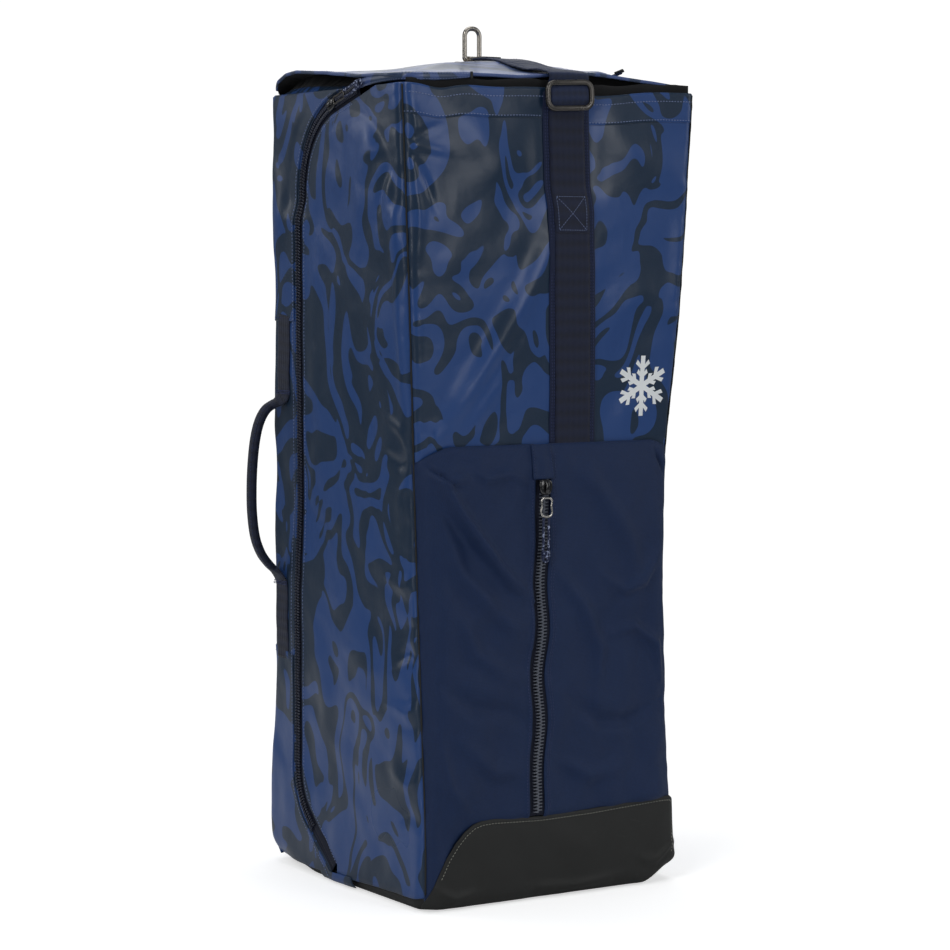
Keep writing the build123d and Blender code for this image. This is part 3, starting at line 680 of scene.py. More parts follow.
def loop_route(drop, width=6.4):
    h = width / 2
    return [(-h, 0), (-h - 0.5, -drop * 0.28), (-h + 0.4, -drop * 0.56), (-h, -drop * 0.82), (-h, -drop),
            (h, -drop), (h, -drop * 0.82), (h + 0.5, -drop * 0.56), (h - 0.4, -drop * 0.28), (h, 0)]


def in_plane(frame_, x, y, h):
    o, ux, uy, uz = frame_
    return o + ux * x + uy * y + uz * h


def pull_cord(name, frame_, start, drop, knot_at, knot, body_, cad_cord, cad_knot):
    """A pull's cord loop and the knot that gathers it."""
    data = bpy.data.curves.new(name, "CURVE")
    data.dimensions = "3D"
    spline = data.splines.new("NURBS")
    route = [in_plane(frame_, x, y - start - 0.05, 0.9) for x, y in loop_route(drop)]
    spline.points.add(len(route) - 1)
    for p, q in zip(spline.points, route):
        p.co = (*(q * MM), 1)
    spline.order_u, spline.use_endpoint_u = 3, True
    spline.resolution_u = 12
    data.bevel_depth, data.bevel_resolution = 1.3 * MM, 5
    cord = link(name, data, CORD)
    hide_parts(cad_cord)
    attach(cord, body_)
    # the knot: three turns of the same cord round the two legs
    turns = np.linspace(0, 1, 90)
    ang = turns * 2 * math.pi * 2.9
    ring = [in_plane(frame_, 3.8 * math.cos(a), -start - knot_at + 3.1 - 6.2 * t, 0.9 + 2.4 * math.sin(a))
            for a, t in zip(ang, turns)]
    knot_ob = sweep(knot, ring, frame_[2], 1.15, 1.15, CORD, sides=10, power=2)
    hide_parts(cad_knot)
    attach(knot_ob, body_)
    return cord


def wire_pull(name, frame_, width, length, wire, body_, cad, metal):
    """A rounded wire frame that hangs from the slider's bridge and holds the cord."""
    hl = length / 2 - wire / 2
    loop = rounded_loop(width / 2 - wire / 2, hl, width * 0.3, 10, 1.0)
    pinch = 1 - 0.16 * np.exp(-((loop[:, 1] - hl * 0.15) / (length * 0.16)) ** 2)
    pts = np.array([in_plane(frame_, x * k, y - length / 2, 0.9) for (x, y), k in zip(loop, pinch)])
    ob = sweep(name, pts, frame_[3], wire / 2, 0.9, metal, sides=12, power=2.4, loop=True)
    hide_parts(cad)
    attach(ob, body_)
    return ob


def outwards(k):
    """Away from a side's wall, which leans out towards the rim."""
    return k * 0.9987, 0, -0.0511


def forwards(k):
    """Along the side zip at the start of its bend, towards the front."""
    return k * 0.0137, -0.9636, 0.2669


DROP = math.atan2(10, 376)       # how much the pocket's face leans back
POCKET_PULL = plane((-11.38, -152.69, 407.64), (0.9992, 0, -0.0400), (0, -math.cos(DROP), math.sin(DROP)))
wire_pull("pocket_pull_wire", POCKET_PULL, 15.5, 21, 2.2, "pocket_pull", "pocket_pull", NICKEL)
pull_cord("pocket_cord", POCKET_PULL, 21, 44, 37, "pocket_knot", "pocket_pull",
          "pocket_pull_cord", "pocket_pull_knot")
for name, k in (("left", -1), ("right", 1)):
    o, ux, _, uz = plane((k * 182.18, -24.92, 802.78), (k * 0.0492, 0.2672, 0.9623), outwards(k))
    pull_plane = (o, ux, -unit(np.array(forwards(k))), uz)
    wire_pull(f"side_pull_plate_{name}", pull_plane, 9, 24, 1.8, f"side_pull_{name}", f"side_pull_{name}", GUNMETAL)
    pull_cord(f"side_cord_{name}", pull_plane, 24, 36, 29, f"side_knot_{name}", f"side_pull_{name}",
              f"side_pull_cord_{name}", f"side_pull_knot_{name}")


# ---------------------------------------------------------------- placing cloth on the body
def lift_foot(p):
    """The base's lower corners are soft and turn up a little."""
    x, y, z = p[..., 0], p[..., 1], p[..., 2]
    up = (18 * ease((x - 108) / 42) * ease((-y - 66) / 84) + 5 * ease((-x - 118) / 40) * ease((y - 118) / 56)
          + 5 * ease((x - 118) / 40) * ease((y - 118) / 56) + 3 * ease((-x - 130) / 26) * ease((-y - 130) / 24))
    out = p.copy()
    out[..., 2] = z + up * (1 - ease(z / 70))
    return out


def spread(n, strength=1.25):
    """n numbers from 0 to 1, closer together at both ends."""
    s = np.sin(np.linspace(-1, 1, n) * strength) / math.sin(strength)
    return (s + 1) / 2


def band_top(y):
    """Height of the black base's upper edge along the sides."""
    return 9.5 + 5.0 * ease((120 - y) / 250)


def sided(y, z, k, lift=0.0):
    return lift_foot(np.stack([k * (side_x(y, z, k) + lift), y, z], -1))


def fronted(x, z, lift=0.0):
    return lift_foot(np.stack([x, front_y(x, z) - lift, z], -1))


def rows_between(left, right, z, n, strength=1.25):
    """A grid whose rows run at heights z from one edge to another."""
    t = spread(n, strength)[None]
    return left[:, None] + (right - left)[:, None] * t, np.repeat(z[:, None], n, 1)


def put(ob, body_, replace=()):
    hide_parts(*replace)
    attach(ob, body_)
    return ob


def put_bent(ob, node):
    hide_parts(node)
    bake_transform(ob)


SIDES = (("left", -1), ("right", 1))
FLAP, SHELL = "front_flap", "shell"
FORWARD = (0, -1, 0)
BACK_SEAM = 0.293 * BACK_R       # how far in the rear corners' seams lie

# ---------------------------------------------------------------- side walls and side zips
zip_rows = np.r_[RIM, zip_part(6, RIM)[:, 1], 3.0]


def above_band(y, z):
    """Squeezes rows so that the cloth ends where the black base begins."""
    foot = band_top(y) - 1.5
    return np.where(z < 60, foot + (z - 3) * (60 - foot) / 57, z)


BEAD, BEAD_PITCH = 2.6, 3.1      # half length of a coil's turn, and the turns' spacing


def coil_bead():
    """Points and faces of one turn of the coil, seen as a lens-shaped bead."""
    rings, sides = 5, 6
    ball = [(-BEAD, 0, 0)]
    for a in np.linspace(-0.5 * math.pi, 0.5 * math.pi, rings + 1)[1:-1]:
        ball += [(BEAD * math.sin(a), 1.28 * math.cos(a) * math.cos(b), 1.5 * math.cos(a) * math.sin(b))
                 for b in np.linspace(0, 2 * math.pi, sides, endpoint=False)]
    ball.append((BEAD, 0, 0))
    faces, last = [], len(ball) - 1
    for r in range(rings - 2):
        for s in range(sides):
            a, b = 1 + r * sides + s, 1 + r * sides + (s + 1) % sides
            faces.append((a, b, b + sides, a + sides))
    faces += [(0, 1 + (s + 1) % sides, 1 + s) for s in range(sides)]
    faces += [(last, last - sides + s, last - sides + (s + 1) % sides) for s in range(sides)]
    return np.array(ball), faces


for name, k in SIDES:
    _, front, back = body(zip_rows)
    out = (k, 0, 0)
    y, z = rows_between(front + CORNER, zip_y(zip_rows, -TAPE), zip_rows, 64)
    z = above_band(y, z)
    gusset = cloth(f"front_gusset_cloth_{name}", sided(y, z, k), 2.2, PRINT_SIDE, LINING, out)
    put(gusset, FLAP, [f"front_gusset_{name}"])

    y, z = rows_between(zip_y(zip_rows, TAPE), back - BACK_SEAM, zip_rows, 46)
    z = above_band(y, z)
    rear = cloth(f"rear_side_cloth_{name}", sided(y, z, k), 2.2, PRINT_REAR, LINING, out)
    put(rear, SHELL, [f"rear_side_panel_{name}", f"rear_rim_corner_{name}"])

    # sewn-on layers above and below the handle, which cover its webbing's ends
    upper = np.r_[np.minimum(zip_rows[zip_rows > 585], RIM - 1), 582.0]
    y, z = rows_between(zip_y(upper, TAPE + 0.8), body(upper)[2] - BACK_SEAM - 0.6, upper, 34)
    put(cloth(f"side_layer_upper_{name}", sided(y, z, k, 1.3), 1.2, PRINT_REAR, None, out), SHELL)
    lower = np.linspace(231, 3, 60)
    y, z = rows_between(zip_y(lower, TAPE + 0.8), body(lower)[2] - BACK_SEAM - 0.6, lower, 30)
    z = above_band(y, z + (y - 140) * 0.13 * ease((z - 60) / 170))
    put(cloth(f"side_layer_lower_{name}", sided(y, z, k, 1.3), 1.2, PRINT_SIDE, None, out), SHELL)
    for label, level, slope, a, b in (("upper", 585.0, 0.0, 92, 129), ("lower", 226.0, 0.13, 111, 161)):
        y = np.linspace(a, b, 20)
        line = sided(y, level + (y - 140) * slope, k, 1.35)
        put(stitches(f"side_layer_stitches_{label}_{name}", line, out, THREAD_NAVY), SHELL)

    # tape and coil halves, each with the cloth it is sewn to
    for half, sign, body_ in (("rear", 1, SHELL), ("front", -1, FLAP)):
        yz = np.stack([zip_part(14, RIM, sign * across) for across in (0.35, 2.6, 5.0, 7.4, 9.8)], 1)
        p = sided(yz[..., 0], np.minimum(yz[..., 1], RIM - 0.5), k, -1.3)
        put(cloth(f"side_zip_tape_{half}_{name}", p, 0.9, ZIP_TAPE, None, out), body_,
            [f"{half}_zip_tape_{name}"])
        path = resample(zip_part(50, RIM - 1), BEAD_PITCH)
        d = unit(np.gradient(path, axis=0))
        away = np.c_[-d[:, 1], d[:, 0]] * sign
        c = path + away * 2.75
        origin = np.c_[k * (side_x(c[:, 0], c[:, 1], k) + 0.1), c]
        none = np.zeros(len(d))
        slant = unit(np.c_[none, away] + 0.28 * np.c_[none, d])
        outward = np.tile((k, 0.0, 0.0), (len(d), 1))
        coil = copies(f"side_zip_coil_{half}_{name}", *coil_bead(), origin, slant, np.cross(outward, slant),
                      outward, ZIP_COIL)
        put(coil, body_, [f"{half}_zip_coil_{name}"])
        line = zip_part(12, RIM - 4, sign * 11.4)
        line = line[line[:, 1] < RIM - 3]
        p = sided(line[:, 0], line[:, 1], k, 1.45 if sign > 0 else 0.1)
        put(stitches(f"side_zip_stitches_{half}_{name}", p, out, THREAD, 3.8, 2.6, 0.5), body_)

# ---------------------------------------------------------------- front panel, hem and collar
rows = np.r_[np.linspace(7, 440, 34)[:-1], np.linspace(440, RIM, 112)]
half = body(rows)[0] - CORNER
x, z = rows_between(-half, half, rows, 118)
z = sagging(x, z)
put(cloth("front_cloth", fronted(x, z), 2.4, PRINT, LINING, FORWARD), FLAP, ["front_panel"])

rows = np.linspace(RIM - 29, RIM + 0.4, 12)
half = body(rows)[0] - CORNER - 0.4
x, z = rows_between(-half, half, rows, 110)
z = sagging(x, z)
put(cloth("front_hem", fronted(x, z, 0.8), 1.0, PRINT, None, FORWARD), FLAP, ["front_rim_hem"])
for label, level in (("top", RIM - 8), ("foot", RIM - 27)):
    for part, x0, x1 in (("left", -172, -13), ("right", 43, 172)):
        x = np.linspace(x0, x1, 60)
        row = fronted(x, sagging(x, level), 0.85)
        put(stitches(f"hem_stitches_{label}_{part}", row, FORWARD, THREAD, 3.6, 2.6, 0.46), FLAP)

x, t = np.meshgrid(np.linspace(-169, 169, 60), np.linspace(0, 1, 8), indexing="ij")
z = RIM - 22 + 31 * t - 0.55 * (RIM - rim_z(x)) * t - 3 * t * np.abs(ripple(x, x * 0, 9, 120))
y = -144.2 + 1.2 * ripple(x, z, 8, 60) * t
put(cloth("inner_collar", np.stack([x, y, z], -1), 1.4, LINING, None, FORWARD), FLAP, ["rim_collar"])

# the corner seams of the front, as a welt that is drawn in unevenly
for name, k in SIDES:
    z = np.linspace(16, RIM - 1, 270)
    w, f, _ = body(z)
    inset = CORNER + 0.25 + 0.2 * ripple(z * 0, z, 70 + k, 40)
    pts = lift_foot(np.stack([k * (w - inset), f + inset, z], -1))
    radius = 0.95 + 0.15 * ripple(z * 0, z, 60 + k, 26)
    put(sweep(f"corner_welt_{name}", pts, (k * 0.7, -0.7, 0), radius, radius, BLACK, sides=8, power=2), FLAP)

# ---------------------------------------------------------------- back panel
def back_y(x, z):
    w, _, b = body(z)
    e = w - np.abs(x)
    return (b - corner_inset(e, BACK_R) + 3.0 * (1 - np.exp(-np.maximum(e - 7, 0) / 40)) * ease((RIM - z) / 60)
            + ripple(x, z, 31, 170) * 1.6 * ease((e - 8) / 20) - foot_inset(z, 26.0))


rows = np.linspace(5, RIM, 130)
half = body(rows)[0] - BACK_SEAM
x, z = rows_between(-half, half, rows, 74)
put(cloth("back_cloth", lift_foot(np.stack([x, back_y(x, z), z], -1)), 2.4, PRINT_REAR, LINING, (0, 1, 0)), SHELL,
    ["back_panel"])
for name, k in SIDES:
    z = np.linspace(10, RIM - 2, 200)
    w, _, b = body(z)
    pts = lift_foot(np.stack([k * (w - 5.6 - foot_inset(z, 28.0)), b - 5.6 - foot_inset(z, 26.0), z], -1))
    put(sweep(f"rear_welt_{name}", pts, (k * 0.7, 0.7, 0), 1.6, 1.6, BLACK, sides=8, power=2), SHELL)


# ---------------------------------------------------------------- base
def base_ring(inset, z, n=220):
    """A rounded rectangle round the base."""
    w, f, b = body(max(z, 0))
    w, f, b = float(w) - inset, float(f) + inset, float(b) - inset
    r = 20 - min(inset, 12) * 0.6
    a = np.linspace(0, 2 * math.pi, n, endpoint=False)
    c, s = np.cos(a), np.sin(a)
    q = 1 / np.maximum(np.abs(c), np.abs(s))
    sx, sy = np.clip(c * q, -1, 1), np.clip(s * q, -1, 1)
    x, y = sx * w, (f + b) / 2 + sy * (b - f) / 2
    ex, ey = w - np.abs(x), np.minimum(y - f, b - y)
    both = (ex < r) & (ey < r)
    dx, dy = r - ex, r - ey
    m = np.maximum(dx, dy) / np.maximum(np.hypot(dx, dy), 1e-6)
    x = np.where(both, x - np.sign(x) * dx * (1 - m), x)
    y = np.where(both, y - np.sign(y - (f + b) / 2) * dy * (1 - m), y)
    return x, y


# how far in the black base's rings lie, and their share of its edge's height
BASE_LEVELS = ((0.4, 1.0), (-0.2, 0.75), (0.6, 0.4), (2.6, 0.16), (5.6, 0.05), (10.0, 0.01), (30.0, 0.0), (90.0, 0.0))


def tucked_ring(inset, z_of):
    """The base's outline, drawn in and lifted as its soft corners are."""
    x, y = base_ring(inset, 6)
    z = z_of(y)
    tuck = foot_inset(z, side_foot_radius(y)) - foot_inset(z)
    x, y = x * (1 - tuck / 155), 12 + (y - 12) * (1 - tuck / 160)
    return lift_foot(np.stack([x, y, z], -1))


rings = np.array([tucked_ring(inset, lambda y: (band_top(y) + 1.0) * share) for inset, share in BASE_LEVELS])
ids = np.arange(rings.shape[0] * rings.shape[1]).reshape(rings.shape[:2])
faces = bands(ids, flip=True) + [tuple(ids[-1][::-1])]
inner = rings.copy()
inner[..., 2] += 1.8
inner[0, :, 2] -= 1.8
inner[..., :2] *= 0.985
inner_ids = ids + ids.size
faces += bands(inner_ids) + [tuple(inner_ids[-1])]
faces += [tuple(f) for f in np.stack([ids[0], inner_ids[0], np.roll(inner_ids[0], -1), np.roll(ids[0], -1)], 1)]
base = raw("base_cloth", np.concatenate([rings.reshape(-1, 3), inner.reshape(-1, 3)]), faces, BLACK)
put(base, SHELL, ["base_tray"])
board = np.array([tucked_ring(inset, lambda y: np.full_like(y, level)) for inset, level in (
    (60, 4.4), (9.5, 4.4), (8.6, 4.9), (8.6, 8.2), (9.5, 8.7), (60, 8.7))])
ids = np.arange(board.shape[0] * board.shape[1]).reshape(board.shape[:2])
faces = bands(ids) + [tuple(ids[0][::-1]), tuple(ids[-1])]
put(raw("base_board_sheet", board.reshape(-1, 3), faces, BOARD), SHELL, ["base_board"])

# a fold of printed cloth that is turned under the left side where the zip's seam ends
t, s = np.meshgrid(np.linspace(0, 1, 26), np.linspace(0, 1, 9), indexing="ij")
y = 46 - 66 * t + 5 * s
z = 2.2 + (band_top(y) + 0.5 - 2.2) * s
fold = sided(y, z, -1, 0.9 + 0.5 * np.sin(math.pi * t))
put(cloth("side_foot_fold", fold, 1.0, PRINT_SIDE, None, (-1, 0, 0)), SHELL)


# ---------------------------------------------------------------- pocket
def chain_x(z):
    """The pocket zip's middle, which wanders with the soft cloth."""
    t = (z - 92) / 325
    fade = np.sin(np.clip((z - 88) / 300, 0, 1) * math.pi) ** 0.7
    return -24 + 13 * (z - 92) / 325 + 2.6 * np.sin(t * 2 * math.pi * 3.3 + 2.4) * fade


def pocket_top(x):
    """Height of the pocket's upper edge, whose corners are cut off."""
    return POCKET_TOP - 17 * np.clip((-x - 112) / 42, 0, 1) ** 1.6 - 9 * np.clip((x - 126) / 26, 0, 1) ** 1.6


POCKET_FOLDS = (
    ([(-150, 448), (-134, 434), (-116, 420)], -3.2, 4.0, 0.4),
    ([(-146, 430), (-124, 424), (-104, 428)], 2.0, 7, 0.5),
    ([(-142, 436), (-118, 398), (-86, 356), (-56, 322), (-30, 306)], 4.6, 13, 0.9),
    ([(-136, 380), (-112, 330), (-74, 292), (-34, 262)], 2.6, 16, 0.7),
    ([(-120, 300), (-96, 252), (-58, 226), (-36, 222)], 2.4, 15, 0.6),
    ([(-130, 220), (-96, 196), (-54, 190), (-34, 176)], -2.6, 16, 0.6),
    ([(-110, 160), (-76, 132), (-40, 128)], 2.4, 14, 0.6),
    ([(-140, 170), (-128, 120), (-110, 96)], 2.2, 12, 0.6),
    ([(-100, 440), (-80, 426), (-50, 430), (-30, 420)], 1.8, 9, 0.6),
    ([(131, 452), (141, 432), (149, 412)], -2.8, 4.0, 0.4),
    ([(20, 440), (60, 404), (92, 350), (100, 300)], 2.4, 20, 0.5),
    ([(2, 330), (30, 296), (52, 250), (46, 200)], 2.4, 14, 0.7),
    ([(62, 318), (84, 306), (110, 314), (128, 336)], 2.4, 9, 0.8),
    ([(72, 262), (98, 268), (122, 250), (128, 216)], 2.6, 9, 0.8),
    ([(20, 196), (54, 172), (92, 170), (124, 186)], -2.4, 14, 0.7),
    ([(0, 140), (40, 118), (80, 124)], 2.0, 12, 0.6),
    ([(134, 300), (142, 240), (136, 180)], 2.0, 9, 0.6),
)


TOE_TOP = np.array((             # distance round the front, height of the toe panel's edge
    (-5, 3.0), (0, 9), (5, 18), (11, 33), (20, 52), (30, 67), (40, 77), (50, 83.5), (60, 86.4), (74, 87),
    (130, 84.5), (190, 85.5), (250, 88.5), (284, 90), (292, 89), (298, 85), (302, 77)), float)


def toe_top(s):
    return np.interp(s, TOE_TOP[:, 0], TOE_TOP[:, 1])


def pocket_y(x, z):
    """y of the pocket's outer face, which tucks in behind the toe panel."""
    face = -156.5 + 10 * (z - 84) / 376
    w, _, _ = body(z)
    e = w - CORNER - np.abs(x)
    under = front_y(x, z) - 1.4
    rise = 1 - (1 - np.clip(e / 30, 0, 1)) ** 2.6
    top = 0.16 + 0.84 * (1 - (1 - np.clip((pocket_top(x) - z) / 40, 0, 1)) ** 2.2)
    y = under + (face - under) * rise * top * (0.25 + 0.75 * ease((z - 16) / 80))
    hidden = ease((toe_top(x + w - 3) - z + 3) / 9)
    off = np.abs(x - chain_x(z))
    calm = (1 - np.exp(-off / 16)) * ease(e / 16) * ease((z - 24) / 50) * ease((pocket_top(x) - z) / 20)
    waves = ripple(x, z, 50, 150) * 2.8 + ripple(x, z, 51, 62) * 1.7
    folds = 2.0 * sum(crease(x, z, line, height, 0.62 * width, tilt) for line, height, width, tilt in POCKET_FOLDS)
    gather = ripple(x * 0.25, z, 52, 30) * np.exp(-np.maximum(off - 9, 0) / 12) * ease((off - 8) / 8) * 0.9
    pucker = ripple(x * 0.2, z, 53, 40) * np.exp(-np.maximum(e, 0) / 10) * 1.1
    hem = 0.9 * np.exp(-((off - 11.5) / 2.6) ** 2)
    dip = 5.0 * np.exp(-(off / 22) ** 2) * ease((z - 120) / 80) * ease((400 - z) / 60) * 0.25
    y = y - (waves + folds) * calm - gather - pucker * ease((z - 20) / 40) - hem + dip
    return y * (1 - hidden) + (under + 0.6) * hidden


def pocketed(x, z, lift=0.0):
    return lift_foot(np.stack([x, pocket_y(x, z) - lift, z], -1))


TOOTH = ((4.7, 0.75), (2.3, 0.62), (1.5, 1.12), (0.1, 1.15), (-0.75, 0.7), (-0.75, -0.7), (0.1, -1.15),
         (1.5, -1.12), (2.3, -0.62), (4.7, -0.75))
TOOTH_PITCH, CHAIN_TOP, TAPE_TOP = 3.3, 424.0, 452


def moulded_tooth():
    """Points and faces of one tooth, its head bevelled."""
    m = len(TOOTH)
    points = [(2.0 + (u - 2.0) * (0.93 + 0.07 * share), v * share, h)
              for h, share in ((0.0, 1.0), (1.9, 1.0), (2.5, 0.72)) for u, v in TOOTH]
    faces = [(r * m + i, r * m + (i + 1) % m, (r + 1) * m + (i + 1) % m, (r + 1) * m + i)
             for r in (0, 1) for i in range(m)]
    return np.array(points), [f[::-1] for f in faces] + [tuple(range(2 * m, 3 * m))[::-1]]


for name, k in SIDES:
    foot = 9.0
    level = foot + (POCKET_TOP - foot) * np.linspace(0, 1, 130)**0.92
    x, z = rows_between(k * (body(level)[0] - CORNER), chain_x(level) + k * 9.0, level, 66)
    z = foot + (z - foot) * (pocket_top(x) - foot) / (POCKET_TOP - foot)
    put(cloth(f"pocket_cloth_{name}", pocketed(x, z), 1.5, NYLON, LINING, FORWARD), FLAP,
        [f"pocket_panel_{name}"])
    z = np.linspace(POCKET_FOOT + 1, TAPE_TOP, 150)
    for lane, off in (("near", 12.2), ("far", 15.2)):
        p = pocketed(chain_x(z) + k * off, z, 0.08)
        if lane == "near" or k > 0:
            put(stitches(f"pocket_zip_stitches_{lane}_{name}", p, FORWARD, THREAD_NAVY, 3.2, 2.2, 0.3), FLAP)
    # tape and moulded teeth
    z = np.linspace(POCKET_FOOT - 2, TAPE_TOP, 160)
    across = np.array((0.3, 3.0, 6.0, 9.0, 12.0))[None] * k
    x, z = chain_x(z)[:, None] + across, np.repeat(z[:, None], 5, 1)
    put(cloth(f"pocket_tape_cloth_{name}", pocketed(x, z, -1.7), 0.9, ZIP_TAPE, None, FORWARD), FLAP,
        [f"pocket_zip_tape_{name}"])
    z = np.arange(POCKET_FOOT + 2, CHAIN_TOP, TOOTH_PITCH) + (0.0 if k < 0 else TOOTH_PITCH / 2)
    one = np.ones((len(z), 1))
    teeth = copies(f"pocket_teeth_{name}", *moulded_tooth(), pocketed(chain_x(z), z, -1.0), one * (k, 0, 0),
                   one * (0, 0, 1), one * FORWARD, ZIP_TEETH, smoothed=False)
    put(teeth, FLAP, [f"pocket_zip_teeth_{name}"])

t, s = np.meshgrid(np.linspace(0, 1, 30), np.linspace(-1, 1, 18), indexing="ij")
z = CHAIN_TOP + 1.5 + (POCKET_TOP - CHAIN_TOP - 2.0) * t
x = chain_x(np.minimum(z, CHAIN_TOP)) + s * (12.4 - 1.2 * t) - 0.5
bulge = 1.9 + 1.0 * (1 - s**2) * (1 - 0.7 * t) + 0.5 * ripple(x, z, 57, 16)
put(cloth("pocket_cover_cloth", pocketed(x, z, bulge), 1.3, NYLON, None, FORWARD), FLAP,
    ["pocket_zip_cover"])
middle = float(chain_x(CHAIN_TOP))
line = resample([(middle - 10.8, 456), (middle - 11.2, 429), (middle + 10.4, 429), (middle + 9.6, 456)], 2.0)
row = pocketed(line[:, 0], line[:, 1], 2.4)
put(stitches("pocket_cover_stitches", row, FORWARD, THREAD_NAVY, 3.0, 2.0, 0.28), FLAP)


# ---------------------------------------------------------------- toe panel
def around(s, z, out):
    """Point round the front at a distance s from the middle of the left corner, lifted out."""
    w, f, _ = body(z)
    length = 2 * (w - FRONT_R) + FRONT_R * math.pi / 2
    right = s > length / 2
    d = np.where(right, length - s, s)
    arc = FRONT_R * math.pi / 4
    phi = np.clip(math.pi / 4 - d / FRONT_R, 0, math.pi / 2)
    run, back = np.maximum(d - arc, 0), np.maximum(-arc - d, 0)
    x = -(w - FRONT_R) + run - (FRONT_R + out) * np.sin(phi)
    y = f + FRONT_R + back - (FRONT_R + out) * np.cos(phi)
    return np.stack([np.where(right, -x, x), y, z * np.ones_like(x)], -1)


TOE_FOLDS = (
    ([(250, 30), (276, 18), (300, 26)], 2.4, 6, 0.7),
    ([(150, 62), (190, 44), (226, 56)], 1.2, 12, 0.5),
    ([(8, 20), (30, 10), (60, 14)], 2.0, 5, 0.7),
    ([(120, 12), (180, 8), (240, 14)], 2.2, 5, 0.6),
)


def toe_point(s, t, lift=0.0):
    """Point of the toe panel, a share t of the way up to its edge."""
    z = 2.0 + (toe_top(s) - 2.0) * t
    full = ease((s - 2) / 34) * ease((306 - s) / 26)
    out = 2.7 + full * (1.2 + 3.6 * np.clip(z / 70, 0, 1)) - 0.85 * corner_inset(z, 12)
    wave = ripple(s, z, 80, 90) * 1.1 + ripple(s, z, 81, 34) * 0.45 * np.exp(-z / 26)
    folds = sum(crease(s, z, *fold) for fold in TOE_FOLDS)
    return lift_foot(around(s, z, out + (wave + folds) * ease((s + 2) / 24) * (1 - t**6) + lift))


s = np.r_[np.linspace(-5, 60, 60), np.linspace(62, 280, 90), np.linspace(282, 302, 22)]
s, t = np.meshgrid(s, np.linspace(0, 1, 34), indexing="ij")
toe = cloth("toe_cloth", toe_point(s, t), 1.8, BLACK, None, FORWARD)
put_bent(toe, "toe_panel")
edge_s = np.linspace(-2, 299, 300)
edge_z = toe_top(edge_s)
d = unit(np.gradient(np.c_[edge_s, edge_z], axis=0))
edge_s, edge_z = edge_s + d[:, 1] * 4.0, edge_z - d[:, 0] * 4.0
down = np.linspace(edge_z[-1], 12, 40)[1:]
edge_s, edge_z = np.r_[edge_s, np.full(39, edge_s[-1])], np.r_[edge_z, down]
p = toe_point(edge_s, (edge_z - 2) / (toe_top(edge_s) - 2), 0.1)
p = p[p[:, 2] > 30]
put(stitches("toe_stitches", p, FORWARD, THREAD_GREY, 3.6, 2.4, 0.42), FLAP)


# ---------------------------------------------------------------- centre strap
def strap_x(z):
    return 30 - 16 * (z - 462) / 350


def on_strap(x, z, lift):
    """y of the strap, which follows the cloth below it but bends less across its width."""
    return front_y(x, z) * 0.55 + front_y(strap_x(z), z) * 0.45 - lift


def strap(name, z0, z1, width, lift, thick, material, crown=0.0):
    rows, cols = 90, 14
    z = np.linspace(z0, z1, rows)
    a = np.linspace(-width / 2, width / 2, cols)
    x, z = strap_x(z)[:, None] + a[None], np.repeat(z[:, None], cols, 1)
    y = on_strap(x, z, lift) - crown * (1 - (2 * (x - strap_x(z)) / width) ** 2)
    limit = front_y(x, z) - lift * 0.8
    return cloth(name, np.stack([x, np.minimum(y, limit), z], -1), thick, material, None, FORWARD)


put(strap("strap_backing_cloth", 452, 811, 55, 1.4, 1.1, BACKING), FLAP, ["strap_backing"])
put(strap("strap_webbing_cloth", 452, 792, 42, 2.3, 1.1, WEBBING, crown=0.2), FLAP, ["strap_webbing"])
put(strap("strap_top_layer", 672, 800, 41, 3.1, 1.0, WEBBING, crown=0.2), FLAP)
for name, off in (("left", -25.2), ("right", 25.2), ("inner_left", -22.4), ("inner_right", 22.4)):
    z = np.linspace(463, 806, 120)
    x = strap_x(z) + off
    p = np.stack([x, on_strap(x, z, 1.5), z], -1)
    put(stitches(f"strap_stitches_{name}", p, FORWARD, THREAD_NAVY, 3.2, 2.2, 0.3), FLAP)
# the box and cross that hold the doubled webbing
a, b, h = 674.5, 708.0, 17
for label, line in (("box", [(-h, a), (h, a), (h, b), (-h, b), (-h, a)]), ("rise", [(-h, a), (h, b)]),
                    ("fall", [(-h, b), (h, a)])):
    off, z = resample(line, 2.0).T
    x = strap_x(z) + off
    row = np.stack([x, on_strap(x, z, 3.35), z], -1)
    put(stitches(f"strap_cross_{label}", row, FORWARD, THREAD, 3.0, 2.2, 0.32), FLAP)

# buckle, in its own tilted frame: x across the strap, y up along it
LEAN = 16 / 350
FACE = -148 - 1.4 + (815 - 808.5) * -5 / 215 * -1
BUCKLE = plane((float(strap_x(808.5)), FACE, 808.5), (1, 0, LEAN), FORWARD)
RING, RING_T = 2.75, 2.3         # half width and half thickness of the ring's bar
bw = 58 / 2 - RING
pts = np.array([in_plane(BUCKLE, x, y, 3.1 + RING_T + 0.8 * (x / bw) ** 2)
                for x, y in rounded_loop(bw, 31 / 2 - RING, 8.0, 9, 2.0)])
put(sweep("buckle_ring", pts, BUCKLE[3], RING, RING_T, GUNMETAL, sides=18, power=2.5, loop=True), "buckle",
    ["buckle_frame"])
wear("buckle_bar", GUNMETAL)
t, s = np.meshgrid(np.linspace(-1, 1, 26), np.linspace(-1, 1, 20), indexing="ij")
h = 7.2 - 2.4 * np.abs(t) ** 2.6 - 0.4 * s**2
p = np.array([in_plane(BUCKLE, a * 22.6, b * 10.8, up) for a, b, up in zip(s.ravel(), t.ravel(), h.ravel())])
put(cloth("strap_fold_cloth", p.reshape(26, 20, 3), 1.3, WEBBING_LID, None, FORWARD), "buckle",
    ["strap_fold"])

# ---------------------------------------------------------------- finish of the carried-over hardware
wear("back_stiffener", LINING)
wear("hook_plate", STEEL)
wear("hook_rivets", STEEL)
wear("hook_bail", STEEL)
wear("strap_clip", ENAMEL)

